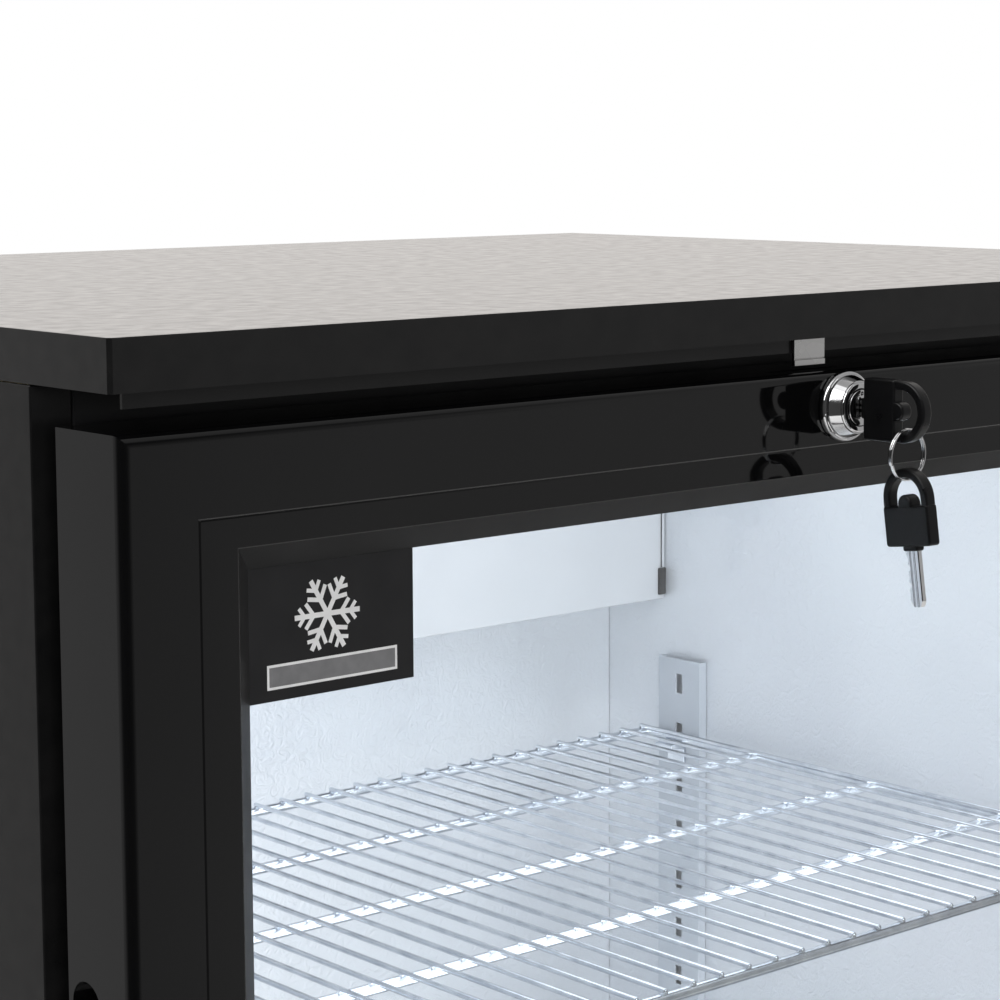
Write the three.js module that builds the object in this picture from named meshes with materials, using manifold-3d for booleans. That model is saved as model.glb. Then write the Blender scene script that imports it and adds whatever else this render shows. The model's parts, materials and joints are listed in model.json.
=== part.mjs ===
// Single-door under-counter bottle cooler: steel cabinet, glazed door, wire shelves and cooling unit.
// Millimetres, +Z up, front of the cabinet towards -Y, floor at Z = 0.
import * as THREE from "three";
import { mergeVertices } from "three/addons/utils/BufferGeometryUtils.js";
import Module from "manifold-3d";

// ---- driving dimensions (Y is counted from the front face of the top cover) ----
const width = 600;
const height = 900;
const bodyDepth = 470;
const guardDepth = 26;
const keyReach = 44.15; // how far the hanging key stands in front of the top cover
const sheet = 1.2;
const gap = 0.3;
const halfWidth = width / 2;
const coverLip = 15.7;
const coverFlange = { half: 291, y: 7.8, bottom: 879 }; // fold inside the cover's front lip
const cabinetFront = 42.8; // front face that the door gasket closes on
const baseHeight = 25;

const liner = { half: 260, back: 400, floor: 134, ceiling: 852, stepFront: 232, stepTop: 318 };
const bay = { front: 272, top: 277 }; // compressor bay under the liner step
const door = { half: 297.5, bottom: 112, top: 872.5, front: -0.6, back: 34 };
const view = { half: 250, bottom: 159, top: 829 }; // the part of the glass that shows
const glass = { edge: 12, pane: 4, front: 7, cavity: 12 };
const gasket = { half: 285, bottom: 124, top: 861, band: 14 };
const hinge = { x: 285, y: 15, pin: 4, hole: 4.15, depth: 14 };
const lock = { z: 860, barrel: 9.3, bore: 6.6, plug: 6.3 };
const keyBow = { half: 10.8, hole: 7.6, start: 12.1, length: 27, thick: 5.2, arch: 3.2 };
const keyBlade = { half: 3, thick: 2, length: 21 };
const ring = { radius: 8.7, wire: 0.6, y: -30.2, z: 845.35 };
const spareTilt = 8.2; // degrees that the hanging key leans forward
const spareTwist = 6; // degrees that it turns about its own length
const shelf = { half: 253.5, front: 42.8 + gap + 2, back: 363, bar: 4.5, wire: 2.2, pitch: 29, bars: 5 };
const shelfTops = { shelf_upper: 648, shelf_lower: 408 };
const pilaster = { width: 30, depth: 5.2, top: 684, pitch: 26, slotHigh: 10, slotWide: 4.5 };
const fans = {
  evaporator: { x: -85, z: 782, radius: 62, front: 362 },
  condenser: { x: -165, z: 140, radius: 80, front: 340 },
};
const foot = { x: 262, front: 78, back: 436, pad: 19, stud: 5 };

// ---- finishes: colour, roughness, metalness ----
const finishes = {
  powder_coat: [0x1c1c1d, 0.55, 0.1],
  door_gloss: [0x121213, 0.12, 0.0],
  stucco: [0xc9cdd0, 0.35, 0.8],
  black_plastic: [0x161617, 0.5, 0.0],
  zinc: [0xb8bbbd, 0.35, 0.9],
  chrome: [0xd5d7d9, 0.08, 1.0],
  glass: [0xdfe9ee, 0.03, 0.0],
  rubber: [0x0e0e0f, 0.8, 0.0],
  foam: [0xd9c48c, 0.9, 0.0],
  spacer: [0x9a9da0, 0.4, 0.8],
  copper: [0xb4714a, 0.35, 0.9],
  fin: [0xb9bdc0, 0.4, 0.8],
  compressor_paint: [0x141415, 0.4, 0.1],
  led: [0xf4f8ff, 0.4, 0.0],
};

// ---- helpers ----
const wasm = await Module();
wasm.setup();
const fridge = new THREE.Group();
const cabinet = new THREE.Group();
cabinet.position.y = (keyReach - bodyDepth - guardDepth) / 2; // origin at the middle of the footprint
fridge.add(cabinet);

function addPart(name, finish, geometry, parent = cabinet) {
  const [color, roughness, metalness] = finishes[finish];
  const mesh = new THREE.Mesh(geometry, new THREE.MeshStandardMaterial({ color, roughness, metalness }));
  mesh.name = name;
  parent.add(mesh);
  return mesh;
}

function toSolid(geometry) {
  const bare = geometry.clone();
  bare.deleteAttribute("normal");
  bare.deleteAttribute("uv");
  const merged = mergeVertices(bare, 1e-4);
  return new wasm.Manifold(new wasm.Mesh({
    numProp: 3,
    vertProperties: new Float32Array(merged.attributes.position.array),
    triVerts: new Uint32Array(merged.index.array),
  }));
}

function toGeometry(solid) {
  const mesh = solid.getMesh();
  const geometry = new THREE.BufferGeometry();
  geometry.setAttribute("position", new THREE.BufferAttribute(new Float32Array(mesh.vertProperties), 3));
  geometry.setIndex(new THREE.BufferAttribute(new Uint32Array(mesh.triVerts), 1));
  geometry.computeVertexNormals();
  return geometry;
}

function join(pieces) {
  return toGeometry(pieces.map(toSolid).reduce((whole, piece) => whole.add(piece)));
}

function cut(base, tools) {
  return toGeometry(tools.map(toSolid).reduce((whole, tool) => whole.subtract(tool), toSolid(base)));
}

function block(x0, x1, y0, y1, z0, z1) {
  const geometry = new THREE.BoxGeometry(x1 - x0, y1 - y0, z1 - z0);
  return geometry.translate((x0 + x1) / 2, (y0 + y1) / 2, (z0 + z1) / 2);
}

// A four-sided block whose front and back faces differ in size: half width, bottom and top at each end.
function taper(front, back, y0, y1) {
  const section = ([half, z0, z1]) => [[-half, z0], [half, z0], [half, z1], [-half, z1]];
  const corners = [
    ...section(front).map(([x, z]) => [x, y0, z]),
    ...section(back).map(([x, z]) => [x, y1, z]),
  ];
  const geometry = new THREE.BufferGeometry();
  geometry.setAttribute("position", new THREE.Float32BufferAttribute(corners.flat(), 3));
  geometry.setIndex([
    0, 1, 2, 0, 2, 3, 4, 6, 5, 4, 7, 6, 0, 4, 5, 0, 5, 1,
    1, 5, 6, 1, 6, 2, 2, 6, 7, 2, 7, 3, 3, 7, 4, 3, 4, 0,
  ]);
  geometry.computeVertexNormals();
  return geometry;
}

function outline(points) {
  return new THREE.Shape(points.map(([u, v]) => new THREE.Vector2(u, v)));
}

// Extrude an outline in the plan (X, Y) upwards from z0 to z1.
function extrudeUp(shape, z0, z1, curveSegments = 12) {
  const geometry = new THREE.ExtrudeGeometry(shape, { depth: z1 - z0, bevelEnabled: false, curveSegments });
  return geometry.translate(0, 0, z0);
}

// Extrude an outline in the front view (X, Z) backwards from y0 to y1.
function extrudeBack(shape, y0, y1, curveSegments = 12) {
  const geometry = new THREE.ExtrudeGeometry(shape, { depth: y1 - y0, bevelEnabled: false, curveSegments });
  return geometry.rotateX(Math.PI / 2).translate(0, y1, 0);
}

// Extrude an outline in the side view (Y, Z) sideways from x0 to x1.
function extrudeSide(shape, x0, x1, curveSegments = 12) {
  const geometry = new THREE.ExtrudeGeometry(shape, { depth: x1 - x0, bevelEnabled: false, curveSegments });
  return geometry.rotateY(Math.PI / 2).rotateX(Math.PI / 2).translate(x0, 0, 0);
}

function drum(radius, low, high, segments = 32) {
  return new THREE.CylinderGeometry(radius, radius, high - low, segments).translate(0, (low + high) / 2, 0);
}

function uprightDrum(radius, x, y, z0, z1, segments = 32) {
  return drum(radius, z0, z1, segments).rotateX(Math.PI / 2).translate(x, y, 0);
}

function levelDrum(radius, x, z, y0, y1, segments = 32) {
  return drum(radius, y0, y1, segments).translate(x, 0, z);
}

function turned(profile, segments = 32) {
  return new THREE.LatheGeometry(profile.map(([r, y]) => new THREE.Vector2(r, y)), segments);
}

function frameRing(outer, inner, y0, y1) {
  return cut(
    block(-outer.half, outer.half, y0, y1, outer.bottom, outer.top),
    [block(-inner.half, inner.half, y0 - 1, y1 + 1, inner.bottom, inner.top)],
  );
}

function grow(frame, by) {
  return { half: frame.half + by, bottom: frame.bottom - by, top: frame.top + by };
}

// ---- outer case ----
function makeTopCover() {
  const corner = 1.2;
  const plan = (inset) => outline([
    [-halfWidth + inset, corner + inset], [-halfWidth + corner + inset, inset],
    [halfWidth - corner - inset, inset], [halfWidth - inset, corner + inset],
    [halfWidth - inset, bodyDepth - inset], [-halfWidth + inset, bodyDepth - inset],
  ]);
  const skin = extrudeUp(plan(0), height - coverLip, height);
  const lid = cut(skin, [extrudeUp(plan(sheet), 0, height - sheet)]);
  const stiffener = block(-coverFlange.half, coverFlange.half, coverFlange.y, coverFlange.y + sheet,
    coverFlange.bottom, height - sheet / 2);
  addPart("top_cover", "powder_coat", join([lid, stiffener]));
}

function makeSidePanels() {
  const flange = 14;
  for (const [name, side] of [["side_panel_left", -1], ["side_panel_right", 1]]) {
    const outer = side * halfWidth;
    const inner = side * (halfWidth - sheet);
    const lip = side * (halfWidth - flange);
    const plan = outline([
      [outer, cabinetFront], [lip, cabinetFront], [lip, cabinetFront + sheet],
      [inner, cabinetFront + sheet], [inner, bodyDepth], [outer, bodyDepth],
    ]);
    addPart(name, "powder_coat", extrudeUp(plan, baseHeight, height - coverLip - gap));
  }
}

function makeBackOfCase() {
  const inside = halfWidth - sheet - gap;
  const seam = 284;
  addPart("rear_panel", "zinc", block(-inside, inside, bodyDepth - sheet, bodyDepth, seam, height - coverLip - gap));

  const guard = { half: 296, bottom: baseHeight + 2, top: seam - 2 };
  const front = bodyDepth + gap;
  const back = bodyDepth + guardDepth;
  const slots = [];
  for (let x = -250; x <= 250; x += 25) {
    slots.push(block(x - 4, x + 4, back - 5, back + 5, guard.bottom + 50, guard.top - 45));
  }
  const shell = block(-guard.half, guard.half, front, back, guard.bottom, guard.top);
  const hollow = block(
    -guard.half + sheet, guard.half - sheet, front - 5, back - sheet, guard.bottom + sheet, guard.top - sheet,
  );
  addPart("rear_guard", "powder_coat", cut(shell, [hollow, ...slots]));

  const gland = turned([[0, 0], [11, 0], [11, 3], [8, 3], [7, 12], [3.2, 12], [3.2, 5], [0, 5]], 20);
  addPart("cord_gland", "black_plastic", gland.translate(-240, bodyDepth + gap, 330));
}

function makeBase() {
  const inside = halfWidth - sheet - gap;
  const low = baseHeight;
  const rimTop = low + 20;
  const sill = 108.2;
  const front = cabinetFront;
  const frontHalf = halfWidth - 14 - gap;
  const pan = join([
    block(-inside, inside, front + sheet + gap, bodyDepth - gap, low, rimTop),
    block(-frontHalf, frontHalf, front, front + sheet + 1, low, sill),
  ]);
  const tools = [block(-inside + sheet, inside - sheet, front + 4, bodyDepth - 2, low + sheet, sill + 1)];
  for (const side of [-1, 1]) {
    tools.push(block(Math.min(side * 20, side * 250), Math.max(side * 20, side * 250), front - 1, front + 9, 48, 94));
    for (const y of [foot.front, foot.back]) {
      tools.push(uprightDrum(foot.stud + 0.5, side * foot.x, y, low - 1, low + 5, 24));
    }
  }
  addPart("base_pan", "zinc", cut(pan, tools));
}

function makeFeet() {
  const profile = [
    [0, 0], [foot.pad, 0], [foot.pad, 4], [foot.pad - 4, 8], [9, 9], [9, baseHeight - 1.5],
    [foot.stud, baseHeight - 1.5], [foot.stud, baseHeight + 17], [0, baseHeight + 17],
  ];
  for (const [row, y] of [["front", foot.front], ["rear", foot.back]]) {
    for (const [side, x] of [["left", -foot.x], ["right", foot.x]]) {
      const geometry = turned(profile, 16).rotateX(Math.PI / 2).translate(x, y, 0);
      addPart(`foot_${row}_${side}`, "black_plastic", geometry);
    }
  }
}

function makeFrontGrille() {
  const front = 22;
  const back = 40;
  const frame = { half: 298.5, bottom: 28, top: 105 };
  const shell = block(-frame.half, frame.half, front, back, frame.bottom, frame.top);
  const tools = [block(
    -frame.half + 1.5, frame.half - 1.5, front + 1.5, back + 5, frame.bottom + 1.5, frame.top - 1.5,
  )];
  for (const [x0, x1] of [[-100, 75], [95, 270]]) {
    for (let z = 44; z <= 92; z += 12) {
      tools.push(block(x0, x1, front - 1, front + 3, z - 3, z + 3));
    }
  }
  tools.push(block(-250, -170, front - 1, front + 3, 46, 86));
  tools.push(block(-152, -130, front - 1, front + 3, 52, 80));
  addPart("front_grille", "black_plastic", cut(shell, tools));

  const panel = join([
    block(-254, -126, front - 2.3, front - gap, 42, 90),
    block(-249.5, -170.5, front - 2, back - 2, 46.5, 85.5),
    block(-151.5, -130.5, front - 2, back - 2, 52.5, 79.5),
  ]);
  addPart("control_panel", "black_plastic", cut(panel, [block(-149.5, -132.5, front - 5, front + 9, 55, 77)]));
  const rocker = outline([[front - 4.2, 57], [front - 1.6, 75], [front + 4, 74], [front + 4, 58]]);
  addPart("light_switch", "black_plastic", extrudeSide(rocker, -149, -133));
}

// ---- insulation and liner ----
function makeInsulation() {
  const inside = halfWidth - sheet - 2 * gap;
  const around = liner.half + sheet + gap;
  const cavity = outline([
    [0, liner.floor - sheet - gap], [liner.stepFront + sheet + gap, liner.floor - sheet - gap],
    [liner.stepFront + sheet + gap, liner.stepTop - sheet - gap],
    [liner.back + sheet + gap, liner.stepTop - sheet - gap],
    [liner.back + sheet + gap, liner.ceiling + sheet + gap], [0, liner.ceiling + sheet + gap],
  ]);
  const low = 95;
  const foam = block(-inside, inside, 47.1, bodyDepth - sheet - gap, low, height - sheet - gap);
  addPart("insulation", "foam", cut(foam, [
    extrudeSide(cavity, -around, around),
    block(-halfWidth, halfWidth, bay.front, bodyDepth, 0, bay.top),
  ]));
}

function makeLiner() {
  const inner = liner.half - gap;
  const start = 47.1;
  const { back, floor, ceiling, stepFront, stepTop } = liner;
  const side = outline([
    [start, floor - sheet], [stepFront + sheet, floor - sheet], [stepFront + sheet, stepTop - sheet],
    [back + sheet, stepTop - sheet], [back + sheet, ceiling + sheet], [start, ceiling + sheet],
  ]);
  addPart("liner_left", "stucco", extrudeSide(side, -liner.half - sheet, -liner.half));
  addPart("liner_right", "stucco", extrudeSide(side, liner.half, liner.half + sheet));
  addPart("liner_floor", "stucco", block(-inner, inner, start, stepFront - gap, floor - sheet, floor));
  addPart("liner_step", "stucco", join([
    block(-inner, inner, stepFront, stepFront + sheet, floor - sheet, stepTop),
    block(-inner, inner, stepFront, back - gap, stepTop - sheet, stepTop),
  ]));
  addPart("liner_back", "stucco", block(-inner, inner, back, back + sheet, stepTop - sheet, ceiling - gap));
  addPart("liner_ceiling", "stucco", block(-inner, inner, start, back + sheet, ceiling, ceiling + sheet));
}

function makeFrontFrame() {
  const half = halfWidth - 14 - gap;
  const outer = { half, bottom: 108.5, top: height - coverLip - gap };
  const inner = { half: liner.half, bottom: liner.floor, top: liner.ceiling };
  addPart("front_frame", "black_plastic", frameRing(outer, inner, cabinetFront, 46.8));
}

// ---- interior fittings ----
function makePilasters() {
  const places = [["front", 99, liner.floor + 8], ["rear", 341.5, liner.stepTop + 8]];
  for (const [row, y, bottom] of places) {
    for (const [side, sign] of [["left", -1], ["right", 1]]) {
      const wall = sign * (liner.half - gap);
      const face = sign * (liner.half - gap - pilaster.depth);
      const skin = sign * (liner.half - gap - pilaster.depth + sheet);
      const span = (a, b, y0, y1, z0, z1) => block(Math.min(a, b), Math.max(a, b), y0, y1, z0, z1);
      const half = pilaster.width / 2;
      const strip = span(wall, face, y - half, y + half, bottom, pilaster.top);
      const tools = [span(skin, wall + sign, y - half + sheet, y + half - sheet, bottom - 1, pilaster.top + 1)];
      for (let z = pilaster.top - 13; z > bottom + 12; z -= pilaster.pitch) {
        const wide = pilaster.slotWide / 2;
        tools.push(span(face - sign, skin + sign, y - wide, y + wide, z - pilaster.slotHigh / 2, z + pilaster.slotHigh / 2));
      }
      addPart(`pilaster_${row}_${side}`, "stucco", cut(strip, tools));
    }
  }
}

function makeShelfClips() {
  for (const [name, top] of Object.entries(shelfTops)) {
    const under = top - shelf.wire - shelf.bar + 0.2 - gap;
    for (const [row, y] of [["front", 99], ["rear", 341.5]]) {
      for (const [side, sign] of [["left", -1], ["right", 1]]) {
        const face = liner.half - gap - pilaster.depth - gap;
        const bracket = outline([
          [sign * face, under - 12], [sign * face, under - 0.2], [sign * (face - 11), under - 0.2],
          [sign * (face - 11), under - 2.2], [sign * (face - 2), under - 3.5], [sign * (face - 2), under - 12],
        ]);
        addPart(`${name.replace("shelf", "clip")}_${row}_${side}`, "zinc", extrudeBack(bracket, y - 6, y + 6));
      }
    }
  }
}

function makeShelves() {
  const { half, front, back, bar, wire, pitch, bars } = shelf;
  for (const [name, top] of Object.entries(shelfTops)) {
    const seat = top - wire + 0.2;
    const pieces = [];
    for (let i = 0; i < bars; i += 1) {
      const y = front + (i * (back - front - bar)) / (bars - 1);
      pieces.push(block(-half, half, y, y + bar, seat - bar, seat));
    }
    for (const side of [-1, 1]) {
      const x = side * (half - bar / 2);
      pieces.push(block(x - bar / 2, x + bar / 2, front + 1, back - 1, seat - bar + 0.3, seat - 0.3));
    }
    const count = Math.floor((half - 8) / pitch);
    for (let i = -count; i <= count; i += 1) {
      const x = i * pitch;
      pieces.push(block(x - wire / 2, x + wire / 2, front + 0.5, back - 0.5, top - wire, top));
    }
    addPart(name, "chrome", join(pieces));
  }
}

function makeEvaporator() {
  const cover = { half: liner.half - 2 * gap, front: 357, bottom: 713.5, top: liner.ceiling - gap };
  const fan = fans.evaporator;
  const shell = block(-cover.half, cover.half, cover.front, liner.back - gap, cover.bottom, cover.top);
  addPart("evaporator_cover", "stucco", cut(shell, [
    block(-cover.half + 1.5, cover.half - 1.5, cover.front + 1.5, liner.back + 5, cover.bottom + 1.5, cover.top + 5),
    levelDrum(fan.radius + 4, fan.x, fan.z, cover.front - 5, cover.front + 5, 40),
    block(40, 230, cover.front + 5, liner.back - 6, cover.bottom - 5, cover.bottom + 5),
  ]));

  const fins = [block(0, 244, 372, 392, 740, 744), block(0, 244, 372, 392, 782, 786), block(0, 244, 372, 392, 824, 828)];
  for (let x = 0; x <= 240; x += 24) {
    fins.push(block(x, x + 4, 368, 396, 732, 836));
  }
  addPart("evaporator_coil", "fin", join(fins));
  addPart("evaporator_fan_motor", "black_plastic", join([
    levelDrum(20, fan.x, fan.z, 374, 399, 24),
    block(fan.x - 60, fan.x + 60, 396.5, 399.4, fan.z - 8, fan.z + 8),
  ]));
  makeFan("evaporator_fan", fan, 9, 3);
}

// A hub with five pitched blades, spinning about Y.
function makeFan(name, fan, depth, clearance) {
  const hub = fan.radius * 0.27;
  const pieces = [levelDrum(hub, 0, 0, fan.front, fan.front + depth, 24)];
  const length = fan.radius - hub + 3;
  for (let i = 0; i < 5; i += 1) {
    const blade = new THREE.BoxGeometry(fan.radius * 0.62, 1.6, length);
    blade.rotateZ(Math.asin((depth - clearance) / (fan.radius * 0.62)));
    blade.translate(0, fan.front + depth / 2, hub - 3 + length / 2);
    pieces.push(blade.rotateY((i * 2 * Math.PI) / 5));
  }
  const tip = levelDrum(fan.radius, 0, 0, fan.front - 5, fan.front + depth + 5, 40);
  const wheel = toSolid(join(pieces)).intersect(toSolid(tip));
  addPart(name, "black_plastic", toGeometry(wheel).translate(fan.x, 0, fan.z));
}

function makeLedStrip() {
  const section = outline([[64, 841], [66, 838.5], [78, 838.5], [80, 841], [80, 851.7], [64, 851.7]]);
  addPart("led_strip", "led", extrudeSide(section, -236, 236));
}

// ---- cooling unit in the bay ----
function makeCoolingUnit() {
  const floor = baseHeight + sheet + gap;
  const can = turned([
    [0, 44], [52, 44], [66, 54], [70, 72], [70, 108], [74, 108], [74, 116], [70, 116], [68, 158],
    [56, 186], [34, 199], [0, 203],
  ], 20).rotateX(Math.PI / 2).translate(120, 362, 0);
  const feet = [];
  for (const x of [40, 200]) {
    for (const y of [312, 412]) {
      feet.push(uprightDrum(11, x, y, floor, floor + 12, 16));
    }
  }
  addPart("compressor", "compressor_paint", join([
    can,
    block(24, 216, 300, 424, floor + 10, floor + 14),
    block(100, 140, 345, 380, floor + 12, 50),
    ...feet,
    block(184, 214, 340, 384, 84, 140),
  ]));

  const fins = [];
  for (let x = -262; x <= -70; x += 24) {
    fins.push(block(x, x + 4, 286, 322, floor, 238));
  }
  for (const z of [60, 125, 190]) {
    fins.push(block(-262, -68, 300, 308, z, z + 8));
  }
  addPart("condenser", "compressor_paint", join(fins));

  const fan = fans.condenser;
  addPart("condenser_fan_motor", "black_plastic", join([
    levelDrum(28, fan.x, fan.z, 364, 402, 24),
    block(fan.x - 4, fan.x + 4, 380, 396, floor, fan.z),
    block(fan.x - 30, fan.x + 30, 374, 402, floor, floor + 3),
  ]));
  makeFan("condenser_fan", fan, 18, 3);

  const tray = block(-40, 250, 290, 450, 236, 262);
  addPart("drip_tray", "black_plastic", cut(tray, [block(-38, 248, 292, 448, 238, 270)]));
}

// ---- door ----
function makeDoor() {
  const bevel = 8;
  const soft = 3;
  const pocket = grow(view, glass.edge + gap);
  const paneBack = glass.front + 2 * glass.pane + glass.cavity;
  const slab = join([
    taper([door.half - soft, door.bottom + soft, door.top - soft], [door.half, door.bottom, door.top],
      door.front, door.front + soft),
    block(-door.half, door.half, door.front + soft, door.back, door.bottom, door.top),
  ]);
  const grip = new THREE.Shape();
  const gripRound = 7.5;
  const gripLow = 271 + gripRound;
  const gripHigh = 711 - gripRound;
  grip.absarc(23.5, gripHigh, gripRound, 0, Math.PI, false);
  grip.absarc(23.5, gripLow, gripRound, Math.PI, 2 * Math.PI, false);
  addPart("door_frame", "door_gloss", cut(slab, [
    taper([view.half + bevel, view.bottom - bevel, view.top + bevel], [view.half, view.bottom, view.top],
      door.front, glass.front - gap),
    block(-view.half, view.half, door.front - 1, door.back + 1, view.bottom, view.top),
    block(-pocket.half, pocket.half, glass.front - gap, paneBack + gap, pocket.bottom, pocket.top),
    extrudeSide(grip, -door.half - 1, -door.half + 11, 6),
    levelDrum(lock.barrel + gap, 0, lock.z, door.front - 1, 9.8, 40),
    block(-25.5, 8, 9.4, 12.6, 844.5, door.top + 1),
    uprightDrum(hinge.hole, hinge.x, hinge.y, door.top - hinge.depth, door.top + 1, 24),
    uprightDrum(hinge.hole, hinge.x, hinge.y, door.bottom - 1, door.bottom + hinge.depth, 24),
  ]));

  const pane = grow(view, glass.edge);
  const paneBlock = (y0, y1) => block(-pane.half, pane.half, y0, y1, pane.bottom, pane.top);
  addPart("outer_glass", "glass", paneBlock(glass.front, glass.front + glass.pane));
  addPart("inner_glass", "glass", paneBlock(paneBack - glass.pane, paneBack));
  const spacerFront = glass.front + glass.pane + gap;
  addPart("glass_spacer", "spacer", frameRing(pane, grow(pane, -8), spacerFront, paneBack - glass.pane - gap));
  addPart("door_gasket", "rubber", frameRing(gasket, grow(gasket, -gasket.band), door.back + gap, cabinetFront - gap));
}

function makeHingeBrackets() {
  const plate = (z0, z1) => block(268, 298, 5, cabinetFront - gap, z0, z1);
  const leg = (z0, z1) => block(268, 298, 40.4, cabinetFront - gap, z0, z1);
  const topPlate = door.top + 2.7;
  addPart("hinge_bracket_top", "zinc", join([
    plate(topPlate, topPlate + 3),
    leg(gasket.top + 2.5, topPlate + 1),
    uprightDrum(hinge.pin, hinge.x, hinge.y, door.top - hinge.depth + 1.5, topPlate + 1, 24),
  ]));
  const lowPlate = door.bottom - 5;
  addPart("hinge_bracket_bottom", "zinc", join([
    plate(lowPlate, lowPlate + 3),
    leg(lowPlate - 15, lowPlate + 1),
    uprightDrum(8, hinge.x, hinge.y, lowPlate + 2, door.bottom - gap, 24),
    uprightDrum(hinge.pin, hinge.x, hinge.y, lowPlate + 2, door.bottom + hinge.depth - 1.5, 24),
  ]));
}

// ---- lock, keys and strike ----
function makeStrikePlate() {
  const back = coverFlange.y - gap;
  addPart("strike_plate", "zinc", block(-17.5, -2, back - 1.3, back, door.top + 2, height - 6));
}

function makeLock() {
  const faceY = door.front - gap;
  const housing = turned([
    [lock.bore, faceY - 8], [8.4, faceY - 8], [10.4, faceY - 7.2], [12, faceY - 2.4], [12.5, faceY - 1.8],
    [12.5, faceY], [lock.barrel, faceY], [lock.barrel, 9.3], [lock.bore, 9.3], [lock.bore, faceY - 8],
  ], 28);
  addPart("lock_housing", "chrome", housing.translate(0, 0, lock.z));

  const plugFront = faceY - 8.6;
  const slotHalf = keyBlade.half + 0.3;
  const slotThick = keyBlade.thick / 2 + 0.3;
  addPart("lock_cylinder", "chrome", cut(
    levelDrum(lock.plug, 0, lock.z, plugFront, 9.4, 32),
    [block(-slotThick, slotThick, plugFront - 1, 9.1, lock.z - slotHalf, lock.z + slotHalf)],
  ));

  const cam = new THREE.Shape();
  cam.moveTo(-20, lock.z - 11);
  cam.lineTo(-9, lock.z - 11);
  cam.lineTo(-6, lock.z - 5);
  cam.absarc(0, lock.z, 6, -Math.PI / 2, Math.PI / 2, false);
  cam.lineTo(-20, lock.z + 5);
  cam.closePath();
  addPart("lock_cam", "zinc", extrudeBack(cam, 9.9, 12, 8));
}

// A key lying along -Y from the origin: the blade's tip at +Y, the looped bow at the -Y end.
function keyGeometry() {
  const { half, hole, length, thick, arch } = keyBow;
  const archCentre = -length + half;
  const bow = new THREE.Shape();
  bow.moveTo(0, half);
  bow.lineTo(archCentre, half);
  bow.absarc(archCentre, 0, half, Math.PI / 2, 1.5 * Math.PI, false);
  bow.lineTo(0, -half);
  const loop = new THREE.Path();
  loop.moveTo(archCentre + 1, hole);
  loop.lineTo(archCentre, hole);
  loop.absarc(archCentre, 0, hole, Math.PI / 2, 1.5 * Math.PI, false);
  loop.lineTo(archCentre + 1, -hole);
  bow.holes.push(loop);
  const lean = block(arch / 2, thick, -length - 1, archCentre + 3, -half - 1, half + 1);
  const head = cut(extrudeSide(bow, -thick / 2, thick / 2, 12), [lean, lean.clone().translate(-arch / 2 - thick, 0, 0)]);
  return join([
    head,
    block(-1.9, 1.9, -1, 1.9, -4.4, 4.4),
    block(-keyBlade.thick / 2, keyBlade.thick / 2, -1, keyBlade.length, -keyBlade.half, keyBlade.half),
  ]);
}

function makeKeys() {
  addPart("key", "black_plastic", keyGeometry().translate(0, -keyBow.start, lock.z));
  const wire = new THREE.TorusGeometry(ring.radius, ring.wire, 6, 28).rotateX(Math.PI / 2);
  addPart("key_ring", "chrome", wire.translate(0, ring.y, ring.z));

  const pivot = new THREE.Group(); // the ring's lowest point, where the second key hangs
  pivot.position.set(0, ring.y, ring.z - ring.radius);
  pivot.rotation.x = THREE.MathUtils.degToRad(-spareTilt);
  cabinet.add(pivot);
  const wallIn = keyBow.half - keyBow.hole;
  const spare = keyGeometry().rotateX(-Math.PI / 2).rotateZ(-THREE.MathUtils.degToRad(spareTwist));
  const drop = ring.wire + 0.35 + wallIn - keyBow.length;
  addPart("spare_key", "black_plastic", spare.translate(0, 0, drop), pivot);
}

makeTopCover();
makeSidePanels();
makeBackOfCase();
makeBase();
makeFeet();
makeFrontGrille();
makeInsulation();
makeLiner();
makeFrontFrame();
makePilasters();
makeShelfClips();
makeShelves();
makeEvaporator();
makeLedStrip();
makeCoolingUnit();
makeDoor();
makeHingeBrackets();
makeStrikePlate();
makeLock();
makeKeys();

export default fridge;
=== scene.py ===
# Looks for the under counter bottle cooler. Shapes are drawn in millimetres, y counted back from the
# front face of the top cover, and moved into the frame when a piece is finished.
import json
import math

import bmesh
import bpy
from mathutils import Euler, Matrix, Vector

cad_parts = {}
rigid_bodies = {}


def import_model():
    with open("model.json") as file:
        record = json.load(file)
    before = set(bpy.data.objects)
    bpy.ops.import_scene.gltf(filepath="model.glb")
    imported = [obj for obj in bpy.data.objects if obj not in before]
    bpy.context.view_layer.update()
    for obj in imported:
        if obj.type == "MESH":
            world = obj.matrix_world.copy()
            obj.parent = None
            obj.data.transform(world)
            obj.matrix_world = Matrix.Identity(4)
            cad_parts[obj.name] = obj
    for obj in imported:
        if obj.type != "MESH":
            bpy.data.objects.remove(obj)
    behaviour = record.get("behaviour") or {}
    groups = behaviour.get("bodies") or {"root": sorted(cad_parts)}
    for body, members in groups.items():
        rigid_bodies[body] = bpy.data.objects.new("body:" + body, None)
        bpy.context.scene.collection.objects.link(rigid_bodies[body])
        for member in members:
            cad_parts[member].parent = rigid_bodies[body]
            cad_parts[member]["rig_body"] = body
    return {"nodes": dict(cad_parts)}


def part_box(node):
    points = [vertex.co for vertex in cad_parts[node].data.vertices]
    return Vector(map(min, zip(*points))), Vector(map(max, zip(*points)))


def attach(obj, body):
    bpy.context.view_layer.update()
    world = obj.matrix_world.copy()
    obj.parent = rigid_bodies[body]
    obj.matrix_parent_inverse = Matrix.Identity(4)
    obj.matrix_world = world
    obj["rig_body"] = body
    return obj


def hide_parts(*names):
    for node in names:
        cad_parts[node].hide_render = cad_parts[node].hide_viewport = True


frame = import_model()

scene = bpy.context.scene
nodes = frame["nodes"]
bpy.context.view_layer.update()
mm = 0.001
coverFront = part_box("top_cover")[0].y
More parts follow.
